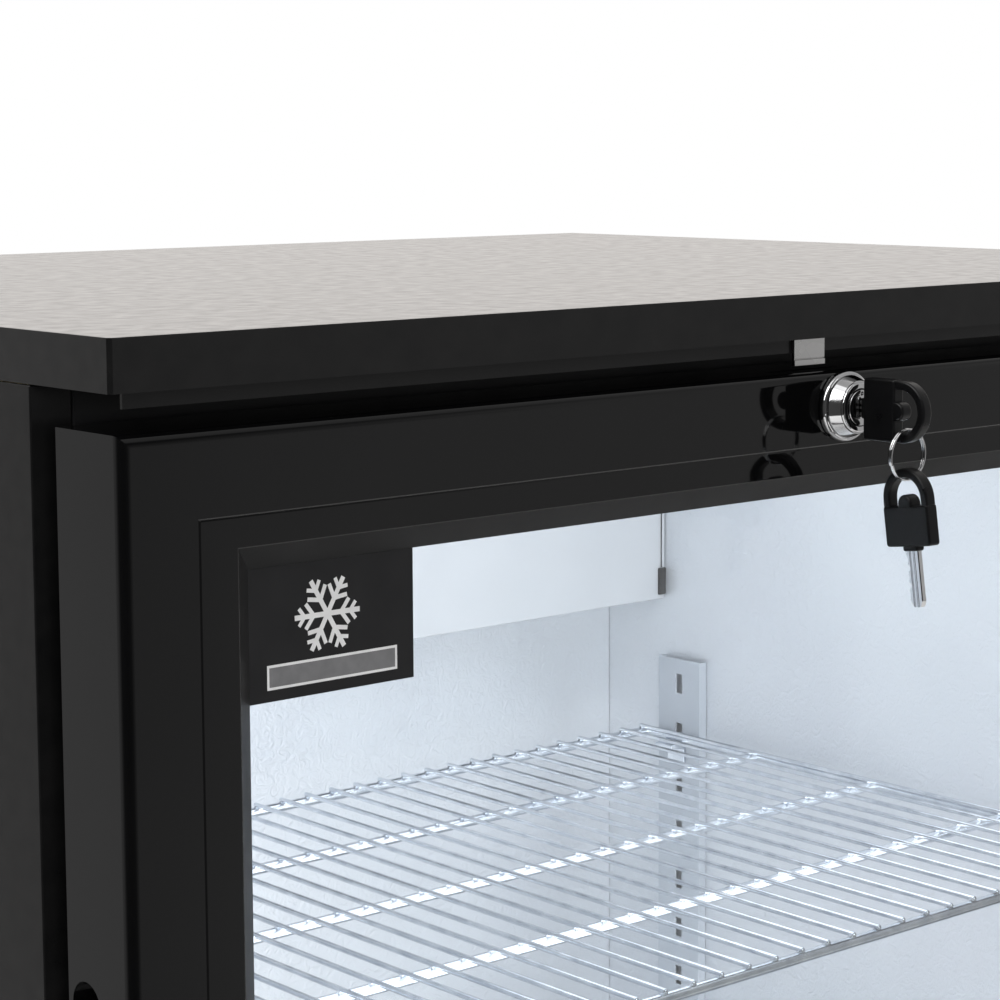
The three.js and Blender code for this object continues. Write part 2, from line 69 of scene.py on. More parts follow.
toFrame = Matrix.Translation((0, coverFront, 0)) @ Matrix.Scale(mm, 4)


cameraSet = {
    "place": (-0.6866, -0.8398, 0.9554),
    "down": 6.684, "aside": 40.722, "roll": -0.264,  # degrees
    "lens": 94.22, "shift": -0.06,
}


def makeCamera():
    data = bpy.data.cameras.new("camera")
    data.lens = cameraSet["lens"]
    data.sensor_width = 36
    data.clip_start = 0.01
    data.shift_y = cameraSet["shift"]
    camera = bpy.data.objects.new("camera", data)
    camera.location = cameraSet["place"]
    turn = Matrix.Rotation(-math.radians(cameraSet["aside"]), 3, "Z")
    turn = turn @ Matrix.Rotation(math.radians(90 - cameraSet["down"]), 3, "X")
    turn = turn @ Matrix.Rotation(math.radians(cameraSet["roll"]), 3, "Z")
    camera.rotation_euler = turn.to_euler()
    scene.collection.objects.link(camera)
    scene.camera = camera


lightSet = {
    "floorRadius": 1.5,
    "worldSeen": 1.0,      # what the camera sees behind the object
    "bright": (0.65, 0.76, 0),  # the room is brightest beyond the far corner
    "worldBack": 1.15,
    "worldFront": 0.36,
    "cabin": 0.74,         # watts of the first of the helpers inside the cabinet
    "led": 2.2,
}


def makeWorld():
    world = bpy.data.worlds.new("studio")
    world.use_nodes = True
    tree = world.node_tree
    tree.nodes.clear()
    out = tree.nodes.new("ShaderNodeOutputWorld")
    seen = tree.nodes.new("ShaderNodeBackground")
    seen.inputs["Strength"].default_value = lightSet["worldSeen"]
    around = tree.nodes.new("ShaderNodeBackground")
    coords = tree.nodes.new("ShaderNodeTexCoord")
    toward = tree.nodes.new("ShaderNodeVectorMath")
    toward.operation = "DOT_PRODUCT"
    toward.inputs[1].default_value = Vector(lightSet["bright"]).normalized()
    shade = tree.nodes.new("ShaderNodeValToRGB")
    front, back = lightSet["worldFront"], lightSet["worldBack"]
    stops = [(0.0, 0.03), (0.19, 0.05), (0.35, front * 0.8), (0.4, front), (0.53, front * 0.93), (0.66, 0.38),
             (0.94, back)]
    for index, (place, value) in enumerate(stops):
        stop = shade.color_ramp.elements[index] if index < 2 else shade.color_ramp.elements.new(place)
        stop.position = place
        warm = 0.04 if value == back else 0.005
        stop.color = (value, value * (1 - warm), value * (1 - 1.8 * warm), 1)
    half = tree.nodes.new("ShaderNodeMapRange")
    half.inputs["From Min"].default_value = -1
    path = tree.nodes.new("ShaderNodeLightPath")
    pick = tree.nodes.new("ShaderNodeMixShader")
    link = tree.links.new
    link(coords.outputs["Generated"], toward.inputs[0])
    link(toward.outputs["Value"], half.inputs["Value"])
    link(half.outputs["Result"], shade.inputs["Fac"])
    link(shade.outputs["Color"], around.inputs["Color"])
    link(path.outputs["Is Camera Ray"], pick.inputs["Fac"])
    link(around.outputs["Background"], pick.inputs[1])
    link(seen.outputs["Background"], pick.inputs[2])
    link(pick.outputs["Shader"], out.inputs["Surface"])
    seen.inputs["Color"].default_value = (1, 1, 1, 1)
    scene.world = world
    scene.view_settings.view_transform = "Standard"


def addArea(name, place, aim, size, power, colour=(1, 1, 1), mirrored=False):
    data = bpy.data.lights.new(name, "AREA")
    data.shape = "RECTANGLE"
    data.size, data.size_y = size
    data.energy = power
    data.color = colour
    light = bpy.data.objects.new(name, data)
    light.location = place
    light.rotation_euler = (Vector(aim) - Vector(place)).to_track_quat("-Z", "Y").to_euler()
    light.visible_camera = False
    light.visible_glossy = mirrored
    scene.collection.objects.link(light)


def makeLights():
    addArea("keyLight", (-1.6, 0.3, 2.2), (0, 0, 0.5), (1.6, 1.6), 26, mirrored=True)
    addArea("frontLight", (-1.3, -2.4, 1.5), (0, 0, 0.6), (1.6, 1.2), 34)
    addArea("topLight", (-0.4, -0.9, 2.4), (0, 0, 0.8), (2.2, 1.6), 8, mirrored=True)
    addArea("backLight", (1.2, 2.0, 1.9), (0, 0, 0.6), (1.8, 1.2), 26)
    low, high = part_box("liner_ceiling")
    cold = (0.97, 0.98, 1.0)
    middle = (low.y + high.y) / 2
    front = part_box("led_strip")[1].y + 0.004
    power = lightSet["cabin"]
    under = middle - 0.03
    addArea("cabinTop", (0, under, low.z - 0.004), (0, under, 0), (0.48, 0.2), power * 0.6, cold, True)
    addArea("cabinDoor", (0, front, 0.60), (0, 1, 0.62), (0.48, 0.42), power * 1.75, cold, True)
    addArea("cabinLow", (0, front, 0.28), (0, 1, 0.3), (0.48, 0.2), power * 0.2, cold)


finishSet = {
    # dark and light ends of the colour, roughness range, broad and fine noise, bump strength and depth
    "powderCoat": {"dark": (0.0072, 0.0072, 0.0074), "light": (0.0102, 0.010, 0.010), "rough": (0.17, 0.23),
                   "specular": 0.34, "broad": 140, "fine": 1300, "bump": 0.22, "depth": 0.03},
    # the side panels' own coat, also laid on the folded strip under the cover's lip as painted shade, darker
    # and duller than the top
    "panelCoatAndFoldShade": {"dark": (0.0066, 0.0066, 0.0068), "light": (0.0095, 0.0094, 0.0094), "rough": (0.2, 0.27),
                  "specular": 0.22, "broad": 140, "fine": 1300, "bump": 0.22, "depth": 0.03},
    "frameSatin": {"dark": (0.0055, 0.0055, 0.006), "light": (0.0075, 0.0075, 0.008), "rough": (0.34, 0.42),
                   "specular": 0.22, "broad": 60, "fine": 900, "bump": 0.1, "depth": 0.02},
    "doorGloss": {"dark": (0.0016, 0.0016, 0.0018), "light": (0.0028, 0.0028, 0.003), "rough": (0.035, 0.06),
                  "broad": 14, "fine": 70, "bump": 0.05, "depth": 0.03},
    "blackPlastic": {"dark": (0.008, 0.008, 0.0085), "light": (0.014, 0.014, 0.015), "rough": (0.38, 0.5),
                     "broad": 90, "fine": 2600, "bump": 0.3, "depth": 0.03},
    "keyPlastic": {"dark": (0.0045, 0.0045, 0.005), "light": (0.006, 0.006, 0.0065), "rough": (0.27, 0.33),
                   "specular": 0.3, "broad": 120, "fine": 2600, "bump": 0.12, "depth": 0.01},
    "chrome": {"dark": (0.80, 0.80, 0.81), "light": (0.90, 0.90, 0.91), "rough": (0.05, 0.10), "metal": 1,
               "broad": 150, "fine": 1400, "bump": 0.05, "depth": 0.01},
    "wirePlate": {"dark": (0.62, 0.66, 0.72), "light": (0.82, 0.85, 0.89), "rough": (0.14, 0.24), "metal": 1,
                  "broad": 120, "fine": 1500, "bump": 0.12, "depth": 0.02},
    "gasketRubber": {"dark": (0.008, 0.008, 0.008), "light": (0.016, 0.016, 0.016), "rough": (0.55, 0.7),
                     "broad": 50, "fine": 1800, "bump": 0.3, "depth": 0.03},
    "foam": {"dark": (0.62, 0.50, 0.26), "light": (0.76, 0.66, 0.40), "rough": (0.85, 0.95),
             "broad": 120, "fine": 700, "bump": 0.8, "depth": 0.4},
    "enamel": {"dark": (0.006, 0.006, 0.0065), "light": (0.011, 0.011, 0.012), "rough": (0.22, 0.34),
               "broad": 35, "fine": 260, "bump": 0.2, "depth": 0.08},
    "copper": {"dark": (0.52, 0.22, 0.11), "light": (0.80, 0.42, 0.26), "rough": (0.2, 0.4), "metal": 1,
               "broad": 60, "fine": 900, "bump": 0.15, "depth": 0.03},
    "finSheet": {"dark": (0.55, 0.57, 0.59), "light": (0.76, 0.78, 0.80), "rough": (0.25, 0.4), "metal": 1,
                 "broad": 80, "fine": 1200, "bump": 0.15, "depth": 0.03},
    "whitePlastic": {"dark": (0.70, 0.71, 0.72), "light": (0.80, 0.81, 0.82), "rough": (0.35, 0.5),
                     "broad": 60, "fine": 1600, "bump": 0.2, "depth": 0.02},
    "labelFilm": {"dark": (0.006, 0.006, 0.007), "light": (0.010, 0.010, 0.011), "rough": (0.28, 0.36),
                  "broad": 90, "fine": 1500, "bump": 0.1, "depth": 0.01},
    "labelWhite": {"dark": (0.74, 0.74, 0.74), "light": (0.82, 0.82, 0.82), "rough": (0.45, 0.55),
                   "broad": 200, "fine": 2500, "bump": 0.1, "depth": 0.01},
    "labelGrey": {"dark": (0.16, 0.16, 0.165), "light": (0.20, 0.20, 0.205), "rough": (0.4, 0.5),
                  "broad": 200, "fine": 2500, "bump": 0.1, "depth": 0.01},
    "whiteCoat": {"dark": (0.57, 0.59, 0.62), "light": (0.61, 0.63, 0.66), "rough": (0.36, 0.42),
                  "broad": 22, "fine": 1100, "bump": 0.2, "depth": 0.03},
    "pilasterCoat": {"dark": (0.49, 0.53, 0.585), "light": (0.54, 0.58, 0.635), "rough": (0.32, 0.4),
                     "broad": 40, "fine": 1100, "bump": 0.2, "depth": 0.03},
}


def noiseOn(tree, scale, detail=2.0, stretch=(1, 1, 1), distortion=0.0):
    coords = tree.nodes.new("ShaderNodeTexCoord")
    mapping = tree.nodes.new("ShaderNodeMapping")
    mapping.inputs["Scale"].default_value = stretch
    noise = tree.nodes.new("ShaderNodeTexNoise")
    noise.inputs["Scale"].default_value = scale
    noise.inputs["Detail"].default_value = detail
    noise.inputs["Distortion"].default_value = distortion
    tree.links.new(coords.outputs["Object"], mapping.inputs["Vector"])
    tree.links.new(mapping.outputs["Vector"], noise.inputs["Vector"])
    return noise.outputs["Fac"]


def spreadOf(tree, source, low, high, start=0.3, end=0.7):
    spread = tree.nodes.new("ShaderNodeMapRange")
    spread.inputs["From Min"].default_value = start
    spread.inputs["From Max"].default_value = end
    spread.inputs["To Min"].default_value = low
    spread.inputs["To Max"].default_value = high
    tree.links.new(source, spread.inputs["Value"])
    return spread.outputs["Result"]


def tintOf(tree, source, dark, light, start=0.3, end=0.7):
    ramp = tree.nodes.new("ShaderNodeValToRGB")
    ramp.color_ramp.elements[0].position = start
    ramp.color_ramp.elements[0].color = (*dark, 1)
    ramp.color_ramp.elements[1].position = end
    ramp.color_ramp.elements[1].color = (*light, 1)
    tree.links.new(source, ramp.inputs["Fac"])
    return ramp.outputs["Color"]


def bumpOn(tree, shader, source, strength, depth, under=None):
    bump = tree.nodes.new("ShaderNodeBump")
    bump.inputs["Strength"].default_value = strength
    bump.inputs["Distance"].default_value = depth * mm
    tree.links.new(source, bump.inputs["Height"])
    if under:
        tree.links.new(under, bump.inputs["Normal"])
    tree.links.new(bump.outputs["Normal"], shader.inputs["Normal"])
    return bump.outputs["Normal"]


def startMaterial(name):
    material = bpy.data.materials.new(name)
    material.use_nodes = True
    return material, material.node_tree, material.node_tree.nodes["Principled BSDF"]


def makeFinish(name, look):
    material, tree, shader = startMaterial(name)
    shader.inputs["Metallic"].default_value = look.get("metal", 0)
    shader.inputs["Specular IOR Level"].default_value = look.get("specular", 0.5)
    broad = noiseOn(tree, look["broad"], 3)
    tree.links.new(tintOf(tree, broad, look["dark"], look["light"]), shader.inputs["Base Color"])
    tree.links.new(spreadOf(tree, broad, *look["rough"]), shader.inputs["Roughness"])
    fine = noiseOn(tree, look["fine"], 1.5)
    bumpOn(tree, shader, fine, look["bump"], look["depth"])
    return material


stuccoSet = {
    "ripple": 210, "fleck": 800, "strength": 0.6, "depth": 0.34,
    "metal": 0.35, "rough": (0.30, 0.40),
}


def makeStucco():
    # embossed aluminium: wavy short ridges, with finer flecks that sparkle
    material, tree, shader = startMaterial("stucco")
    ripple = noiseOn(tree, stuccoSet["ripple"], 1.2, distortion=1.6)
    ridge = spreadOf(tree, ripple, 0, 1, 0.3, 0.68)
    fleck = noiseOn(tree, stuccoSet["fleck"], 1.0)
    first = bumpOn(tree, shader, fleck, 0.08, 0.05)
    bumpOn(tree, shader, ridge, stuccoSet["strength"], stuccoSet["depth"], first)
    tint = tintOf(tree, noiseOn(tree, 9, 3), (0.68, 0.708, 0.75), (0.75, 0.778, 0.815))
    tree.links.new(tint, shader.inputs["Base Color"])
    tree.links.new(spreadOf(tree, ripple, *stuccoSet["rough"]), shader.inputs["Roughness"])
    shader.inputs["Metallic"].default_value = stuccoSet["metal"]
    return material


def makeZinc(name, dark, light, rough):
    # plated steel: soft spangle cells under a fine rolling grain
    material, tree, shader = startMaterial(name)
    coords = tree.nodes.new("ShaderNodeTexCoord")
    cells = tree.nodes.new("ShaderNodeTexVoronoi")
    cells.inputs["Scale"].default_value = 170
    tree.links.new(coords.outputs["Object"], cells.inputs["Vector"])
    parts = tree.nodes.new("ShaderNodeSeparateColor")
    tree.links.new(cells.outputs["Color"], parts.inputs["Color"])
    spangle = parts.outputs["Red"]
    tree.links.new(tintOf(tree, spangle, dark, light, 0, 1), shader.inputs["Base Color"])
    tree.links.new(spreadOf(tree, spangle, *rough, 0, 1), shader.inputs["Roughness"])
    bumpOn(tree, shader, noiseOn(tree, 240, 3, (1, 1, 14)), 0.2, 0.03)
    shader.inputs["Metallic"].default_value = 1
    return material


def makeGlass():
    material, tree, shader = startMaterial("clearGlass")
    shader.inputs["Transmission Weight"].default_value = 1
    shader.inputs["Roughness"].default_value = 0
    shader.inputs["IOR"].default_value = 1.45
    haze = noiseOn(tree, 5, 4)
    tree.links.new(tintOf(tree, haze, (0.965, 0.985, 0.985), (0.99, 0.998, 1.0)), shader.inputs["Base Color"])
    bumpOn(tree, shader, noiseOn(tree, 18, 1), 0.015, 0.02)
    return material


def makeLed():
    material, tree, shader = startMaterial("ledLens")
    glow = noiseOn(tree, 60, 1)
    tree.links.new(tintOf(tree, glow, (0.80, 0.90, 1.0), (0.88, 0.95, 1.0)), shader.inputs["Emission Color"])
    shader.inputs["Emission Strength"].default_value = lightSet["led"]
    tree.links.new(tintOf(tree, glow, (0.80, 0.84, 0.88), (0.86, 0.88, 0.90)), shader.inputs["Base Color"])
    shader.inputs["Roughness"].default_value = 0.4
    return material


def makeSpacerBar():
    # aluminium bar with the row of small holes of a sealed unit
    material, tree, shader = startMaterial("spacerBar")
    dots = noiseOn(tree, 600, 1)
    tint = tintOf(tree, dots, (0.16, 0.17, 0.18), (0.55, 0.57, 0.59), 0.36, 0.42)
    tree.links.new(tint, shader.inputs["Base Color"])
    tree.links.new(spreadOf(tree, dots, 0.3, 0.45), shader.inputs["Roughness"])
    shader.inputs["Metallic"].default_value = 0.9
    bumpOn(tree, shader, dots, 0.3, 0.05)
    return material


finish = {name: makeFinish(name, look) for name, look in finishSet.items()}
finish["stucco"] = makeStucco()
finish["zinc"] = makeZinc("zincPlate", (0.76, 0.755, 0.75), (0.88, 0.875, 0.87), (0.26, 0.40))
finish["galvanised"] = makeZinc("galvanisedSheet", (0.44, 0.45, 0.46), (0.51, 0.52, 0.53), (0.40, 0.50))
finish["glass"] = makeGlass()
finish["led"] = makeLed()
finish["spacer"] = makeSpacerBar()
print("materials made:", len(finish))


def dress(obj, body, materials, stands=(), smooth=32):
    if materials:
        obj.data.materials.clear()
        for name in materials:
            obj.data.materials.append(finish[name])
    obj.data.shade_smooth()
    obj.data.set_sharp_from_angle(angle=math.radians(smooth))
    normals = obj.modifiers.new("normals", "WEIGHTED_NORMAL")  # keeps wide faces flat beside rounded edges
    normals.keep_sharp = True
    bakeModifiers(obj)
    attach(obj, body)
    if stands:
        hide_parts(*stands)
    return obj


def linkMesh(name, bm, matrix=toFrame):
    bmesh.ops.transform(bm, matrix=matrix, verts=bm.verts)
    bmesh.ops.recalc_face_normals(bm, faces=bm.faces)
    mesh = bpy.data.meshes.new(name)
    bm.to_mesh(mesh)
    bm.free()
    obj = bpy.data.objects.new(name, mesh)
    scene.collection.objects.link(obj)
    return obj


def addPiece(name, bm, body, materials, stands=(), smooth=32, matrix=toFrame):
    return dress(linkMesh(name, bm, matrix), body, materials, stands, smooth)


def bakeModifiers(obj):
    bpy.context.view_layer.update()
    depsgraph = bpy.context.evaluated_depsgraph_get()
    baked = bpy.data.meshes.new_from_object(obj.evaluated_get(depsgraph))
    obj.modifiers.clear()
    old = obj.data
    obj.data = baked
    bpy.data.meshes.remove(old)
    return obj


def roundEdges(obj, width, segments=2, angle=30):
    bevel = obj.modifiers.new("edges", "BEVEL")
    bevel.width = width * mm
    bevel.segments = segments
    bevel.limit_method = "ANGLE"
    bevel.angle_limit = math.radians(angle)
    bevel.miter_outer = "MITER_ARC"
    bevel.harden_normals = False
    return bakeModifiers(obj)


def cutWith(obj, cutter):
    cut = obj.modifiers.new("cut", "BOOLEAN")
    cut.operation = "DIFFERENCE"
    cut.solver = "EXACT"
    cut.object = cutter
    bakeModifiers(obj)
    old = cutter.data
    bpy.data.objects.remove(cutter)
    bpy.data.meshes.remove(old)
    return obj


def copyOf(node):
    # a CAD node's shape as merged, flat-sided faces, ready for rounded edges
    bm = bmesh.new()
    bm.from_mesh(nodes[node].data)
    bmesh.ops.remove_doubles(bm, verts=bm.verts, dist=0.00002)
    bmesh.ops.dissolve_limit(bm, angle_limit=math.radians(0.6), verts=bm.verts, edges=bm.edges)
    mesh = bpy.data.meshes.new(node)
    bm.to_mesh(mesh)
    bm.free()
    obj = bpy.data.objects.new(node + "_finished", mesh)
    scene.collection.objects.link(obj)
    return obj


def soften(node, materials, width=0.5, segments=2, smooth=40):
    obj = roundEdges(copyOf(node), width, segments)
    return dress(obj, nodes[node]["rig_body"], materials, [node], smooth)


def paint(node, material):
    mesh = nodes[node].data
    mesh.materials.clear()
    mesh.materials.append(finish[material])


def addBlock(bm, x, y, z, turn=None):
    centre = Vector(((x[0] + x[1]) / 2, (y[0] + y[1]) / 2, (z[0] + z[1]) / 2))
    size = Matrix.Diagonal((x[1] - x[0], y[1] - y[0], z[1] - z[0], 1))
    turned = turn.to_matrix().to_4x4() if turn else Matrix()
    return bmesh.ops.create_cube(bm, size=1, matrix=Matrix.Translation(centre) @ turned @ size)["verts"]


axisTurn = {
    "z": Matrix(),
    "y": Matrix.Rotation(math.radians(-90), 4, "X"),
    "x": Matrix.Rotation(math.radians(90), 4, "Y"),
}


def addLathe(bm, profile, centre=(0, 0, 0), axis="z", steps=48):
    # (radius, height) pairs: a profile that touches the axis closes there, any other is a closed loop
    place = Matrix.Translation(centre) @ axisTurn[axis]
    rings = []
    for radius, height in profile:
        if radius < 1e-6:
            rings.append([bm.verts.new(place @ Vector((0, 0, height)))])
            continue
        ring = []
        for step in range(steps):
            angle = 2 * math.pi * step / steps
            spot = Vector((radius * math.cos(angle), radius * math.sin(angle), height))
            ring.append(bm.verts.new(place @ spot))
        rings.append(ring)
    pairs = list(zip(rings, rings[1:]))
    if len(rings[0]) > 1 and len(rings[-1]) > 1:
        pairs.append((rings[-1], rings[0]))
    for low, high in pairs:
        for step in range(steps):
            following = (step + 1) % steps
            if len(low) == 1:
                bm.faces.new((low[0], high[following], high[step]))
            elif len(high) == 1:
                bm.faces.new((low[step], low[following], high[0]))
            else:
                bm.faces.new((low[step], low[following], high[following], high[step]))


def addFrameLoop(bm, rows, satin=()):
    # a mitred picture frame: each row is one rectangle (half width, bottom, top) at a depth y
    rings = []
    for (half, bottom, top), y in rows:
        corners = ((-half, y, bottom), (half, y, bottom), (half, y, top), (-half, y, top))
        rings.append([bm.verts.new(corner) for corner in corners])
    for index, ring in enumerate(rings):
        after = rings[(index + 1) % len(rings)]
        for side in range(4):
            following = (side + 1) % 4
            face = bm.faces.new((ring[side], ring[following], after[following], after[side]))
            face.material_index = 1 if index in satin else 0


def addTube(bm, path, radius, sides=10):
    points = [Vector(point) for point in path]
    count = len(points)
    side = None
    rings = []
    for index, point in enumerate(points):
        before = points[index - 1] if index else point
        after = points[index + 1] if index < count - 1 else point
        along = (after - before).normalized()
        if side is None:
            side = along.orthogonal().normalized()
        side = (side - along * side.dot(along)).normalized()
        up = along.cross(side)
        ring = []
        for step in range(sides):
            angle = 2 * math.pi * step / sides
            ring.append(bm.verts.new(point + radius * (math.cos(angle) * side + math.sin(angle) * up)))
        rings.append(ring)
    for low, high in zip(rings, rings[1:]):
        for step in range(sides):
            following = (step + 1) % sides
            bm.faces.new((low[step], low[following], high[following], high[step]))
    bm.faces.new(rings[0])
    bm.faces.new(rings[-1])


def arc(centre, radius, start, end, steps):
    across, up = centre
    points = []
    for step in range(steps + 1):
        angle = math.radians(start + (end - start) * step / steps)
        points.append((across + radius * math.cos(angle), up + radius * math.sin(angle)))
    return points


def addPrism(bm, outline, low, high, lay):
    # outline in two of the axes, low to high along the third; lay(a, b, c) gives the point
    bottom = [bm.verts.new(lay(a, b, low)) for a, b in outline]
    top = [bm.verts.new(lay(a, b, high)) for a, b in outline]
    bm.faces.new(bottom)
    bm.faces.new(top)
    for index in range(len(outline)):
        following = (index + 1) % len(outline)
        bm.faces.new((bottom[index], bottom[following], top[following], top[index]))


def bendPath(points, radius, steps=6):
    # the same run of straight pipes with rounded corners
    corners = [Vector(point) for point in points]
    path = [corners[0]]
    for before, corner, after in zip(corners, corners[1:], corners[2:]):
        start = corner + (before - corner).normalized() * radius
        end = corner + (after - corner).normalized() * radius
        for step in range(steps + 1):
            part = step / steps
            path.append((1 - part) ** 2 * start + 2 * part * (1 - part) * corner + part ** 2 * end)
    path.append(corners[-1])
    return path


def rectOf(node, by=0.0):
    low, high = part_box(node)
    return high.x / mm - by, low.z / mm + by, high.z / mm - by


def startTree(name, inputs):
    tree = bpy.data.node_groups.new(name, "GeometryNodeTree")
    tree.interface.new_socket("Geometry", in_out="INPUT", socket_type="NodeSocketGeometry")
    for label, kind in inputs:
        tree.interface.new_socket(label, in_out="INPUT", socket_type="NodeSocket" + kind)
    tree.interface.new_socket("Geometry", in_out="OUTPUT", socket_type="NodeSocketGeometry")
    return tree, tree.nodes.new("NodeGroupInput"), tree.nodes.new("NodeGroupOutput")


def endTree(tree, source, groupIn, groupOut):
    realize = tree.nodes.new("GeometryNodeRealizeInstances")
    colour = tree.nodes.new("GeometryNodeSetMaterial")
    tree.links.new(source, realize.inputs["Geometry"])
    tree.links.new(realize.outputs["Geometry"], colour.inputs["Geometry"])
    tree.links.new(groupIn.outputs["Material"], colour.inputs["Material"])
    tree.links.new(colour.outputs["Geometry"], groupOut.inputs["Geometry"])
    return tree


def makeRowTree():
    # the input shape repeated in rows: one count and step along each of two directions
    tree, groupIn, groupOut = startTree("rows", [
        ("Count", "Int"), ("Step", "Vector"), ("Rows", "Int"), ("Row Step", "Vector"),
        ("Material", "Material"),
    ])
    link = tree.links.new
    shape = groupIn.outputs["Geometry"]
    for count, step in (("Count", "Step"), ("Rows", "Row Step")):
        line = tree.nodes.new("GeometryNodeMeshLine")
        line.mode = "OFFSET"
        link(groupIn.outputs[count], line.inputs["Count"])
        link(groupIn.outputs[step], line.inputs["Offset"])
        place = tree.nodes.new("GeometryNodeInstanceOnPoints")
        link(line.outputs["Mesh"], place.inputs["Points"])
        link(shape, place.inputs["Instance"])
        shape = place.outputs["Instances"]
    return endTree(tree, shape, groupIn, groupOut)


def makePlacesTree():
    # the input shape set at each point of another mesh, all turned one way and each spun on its own axis
    tree, groupIn, groupOut = startTree("places", [
        ("Places", "Object"), ("Turn", "Rotation"), ("Seed", "Int"), ("Material", "Material"),
    ])
    link = tree.links.new
    info = tree.nodes.new("GeometryNodeObjectInfo")
    place = tree.nodes.new("GeometryNodeInstanceOnPoints")
    spin = tree.nodes.new("GeometryNodeRotateInstances")
    chance = tree.nodes.new("FunctionNodeRandomValue")
    chance.data_type = "FLOAT_VECTOR"
    chance.inputs[0].default_value = (0, 0, 0)
    chance.inputs[1].default_value = (0, 0, 2 * math.pi)
    link(groupIn.outputs["Places"], info.inputs["Object"])
    link(info.outputs["Geometry"], place.inputs["Points"])
    link(groupIn.outputs["Geometry"], place.inputs["Instance"])
    link(groupIn.outputs["Turn"], place.inputs["Rotation"])
    link(groupIn.outputs["Seed"], chance.inputs["Seed"])
    link(place.outputs["Instances"], spin.inputs["Instances"])
    link(chance.outputs[0], spin.inputs["Rotation"])
    return endTree(tree, spin.outputs["Instances"], groupIn, groupOut)


def makeGuardTree():
    # round wires of a fan guard: rings between two radii, all of one wire
    tree, groupIn, groupOut = startTree("guardRings", [
        ("Rings", "Int"), ("Inner", "Float"), ("Outer", "Float"), ("Wire", "Float"), ("Material", "Material"),
    ])
    link = tree.links.new
    line = tree.nodes.new("GeometryNodeMeshLine")
    line.inputs["Offset"].default_value = (0, 0, 0)
    circle = tree.nodes.new("GeometryNodeCurvePrimitiveCircle")
    circle.inputs["Resolution"].default_value = 64
    circle.inputs["Radius"].default_value = 1
    index = tree.nodes.new("GeometryNodeInputIndex")
    last = tree.nodes.new("ShaderNodeMath")
    last.operation = "SUBTRACT"
    last.inputs[1].default_value = 1
    size = tree.nodes.new("ShaderNodeMapRange")
    place = tree.nodes.new("GeometryNodeInstanceOnPoints")
    real = tree.nodes.new("GeometryNodeRealizeInstances")
    section = tree.nodes.new("GeometryNodeCurvePrimitiveCircle")
    section.inputs["Resolution"].default_value = 8
    tube = tree.nodes.new("GeometryNodeCurveToMesh")
    link(groupIn.outputs["Rings"], line.inputs["Count"])
    link(groupIn.outputs["Rings"], last.inputs[0])
    link(index.outputs["Index"], size.inputs["Value"])
    link(last.outputs["Value"], size.inputs["From Max"])
    link(groupIn.outputs["Inner"], size.inputs["To Min"])
    link(groupIn.outputs["Outer"], size.inputs["To Max"])
    link(line.outputs["Mesh"], place.inputs["Points"])
    link(circle.outputs["Curve"], place.inputs["Instance"])
    link(size.outputs["Result"], place.inputs["Scale"])
    link(place.outputs["Instances"], real.inputs["Geometry"])
    link(real.outputs["Geometry"], tube.inputs["Curve"])
    link(groupIn.outputs["Wire"], section.inputs["Radius"])
    link(section.outputs["Curve"], tube.inputs["Profile Curve"])
    return endTree(tree, tube.outputs["Mesh"], groupIn, groupOut)


trees = {"rows": makeRowTree(), "places": makePlacesTree(), "guardRings": makeGuardTree()}


def runTree(obj, treeName, values):
    tree = trees[treeName]
    modifier = obj.modifiers.new(treeName, "NODES")
    modifier.node_group = tree
    for item in tree.interface.items_tree:
        if item.in_out == "INPUT" and item.name in values:
            modifier[item.identifier] = values[item.name]
    return bakeModifiers(obj)


def repeatPiece(name, bm, body, material, count, step, rows=1, rowStep=(0, 0, 0), stands=(),
                smooth=32):
    obj = linkMesh(name, bm)
    values = {
        "Count": count, "Step": [part * mm for part in step],
        "Rows": rows, "Row Step": [part * mm for part in rowStep], "Material": finish[material],
    }
    runTree(obj, "rows", values)
    return dress(obj, body, [], stands, smooth)


screwSet = {"radius": 3.4, "height": 1.7, "cross": 3.6, "slotWide": 0.8, "recess": 1.0}


def screwHead(scale):
    s = {key: value * scale for key, value in screwSet.items()}
    bm = bmesh.new()
    dome = [(0, 0), (s["radius"], 0), (s["radius"], s["height"] * 0.35)]
    for across, up in ((0.93, 0.62), (0.74, 0.86), (0.45, 0.97), (0, 1)):
        dome.append((s["radius"] * across, s["height"] * up))
    addLathe(bm, dome, steps=20)
    head = linkMesh("screwHead", bm, Matrix.Scale(mm, 4))
    for angle in (0, 90):
        bm = bmesh.new()
        turn = Euler((0, 0, math.radians(angle)))
        reach, half = s["cross"] / 2, s["slotWide"] / 2
        addBlock(bm, (-reach, reach), (-half, half), (s["height"] - s["recess"], s["height"] + 1), turn)
        cutWith(head, linkMesh("screwCut", bm, Matrix.Scale(mm, 4)))
    return head


def addScrews(name, points, turn, body, material, scale=1.0, seed=4):
    bm = bmesh.new()
    for point in points:
        bm.verts.new(point)
    places = linkMesh("screwPlaces", bm)
    head = screwHead(scale)
    head.name = name
    turned = [math.radians(a) for a in turn]
    values = {"Places": places, "Turn": turned, "Seed": seed, "Material": finish[material]}
    runTree(head, "places", values)
    bpy.data.objects.remove(places)
    return dress(head, body, [])


facing = {"front": (90, 0, 0), "back": (-90, 0, 0)}


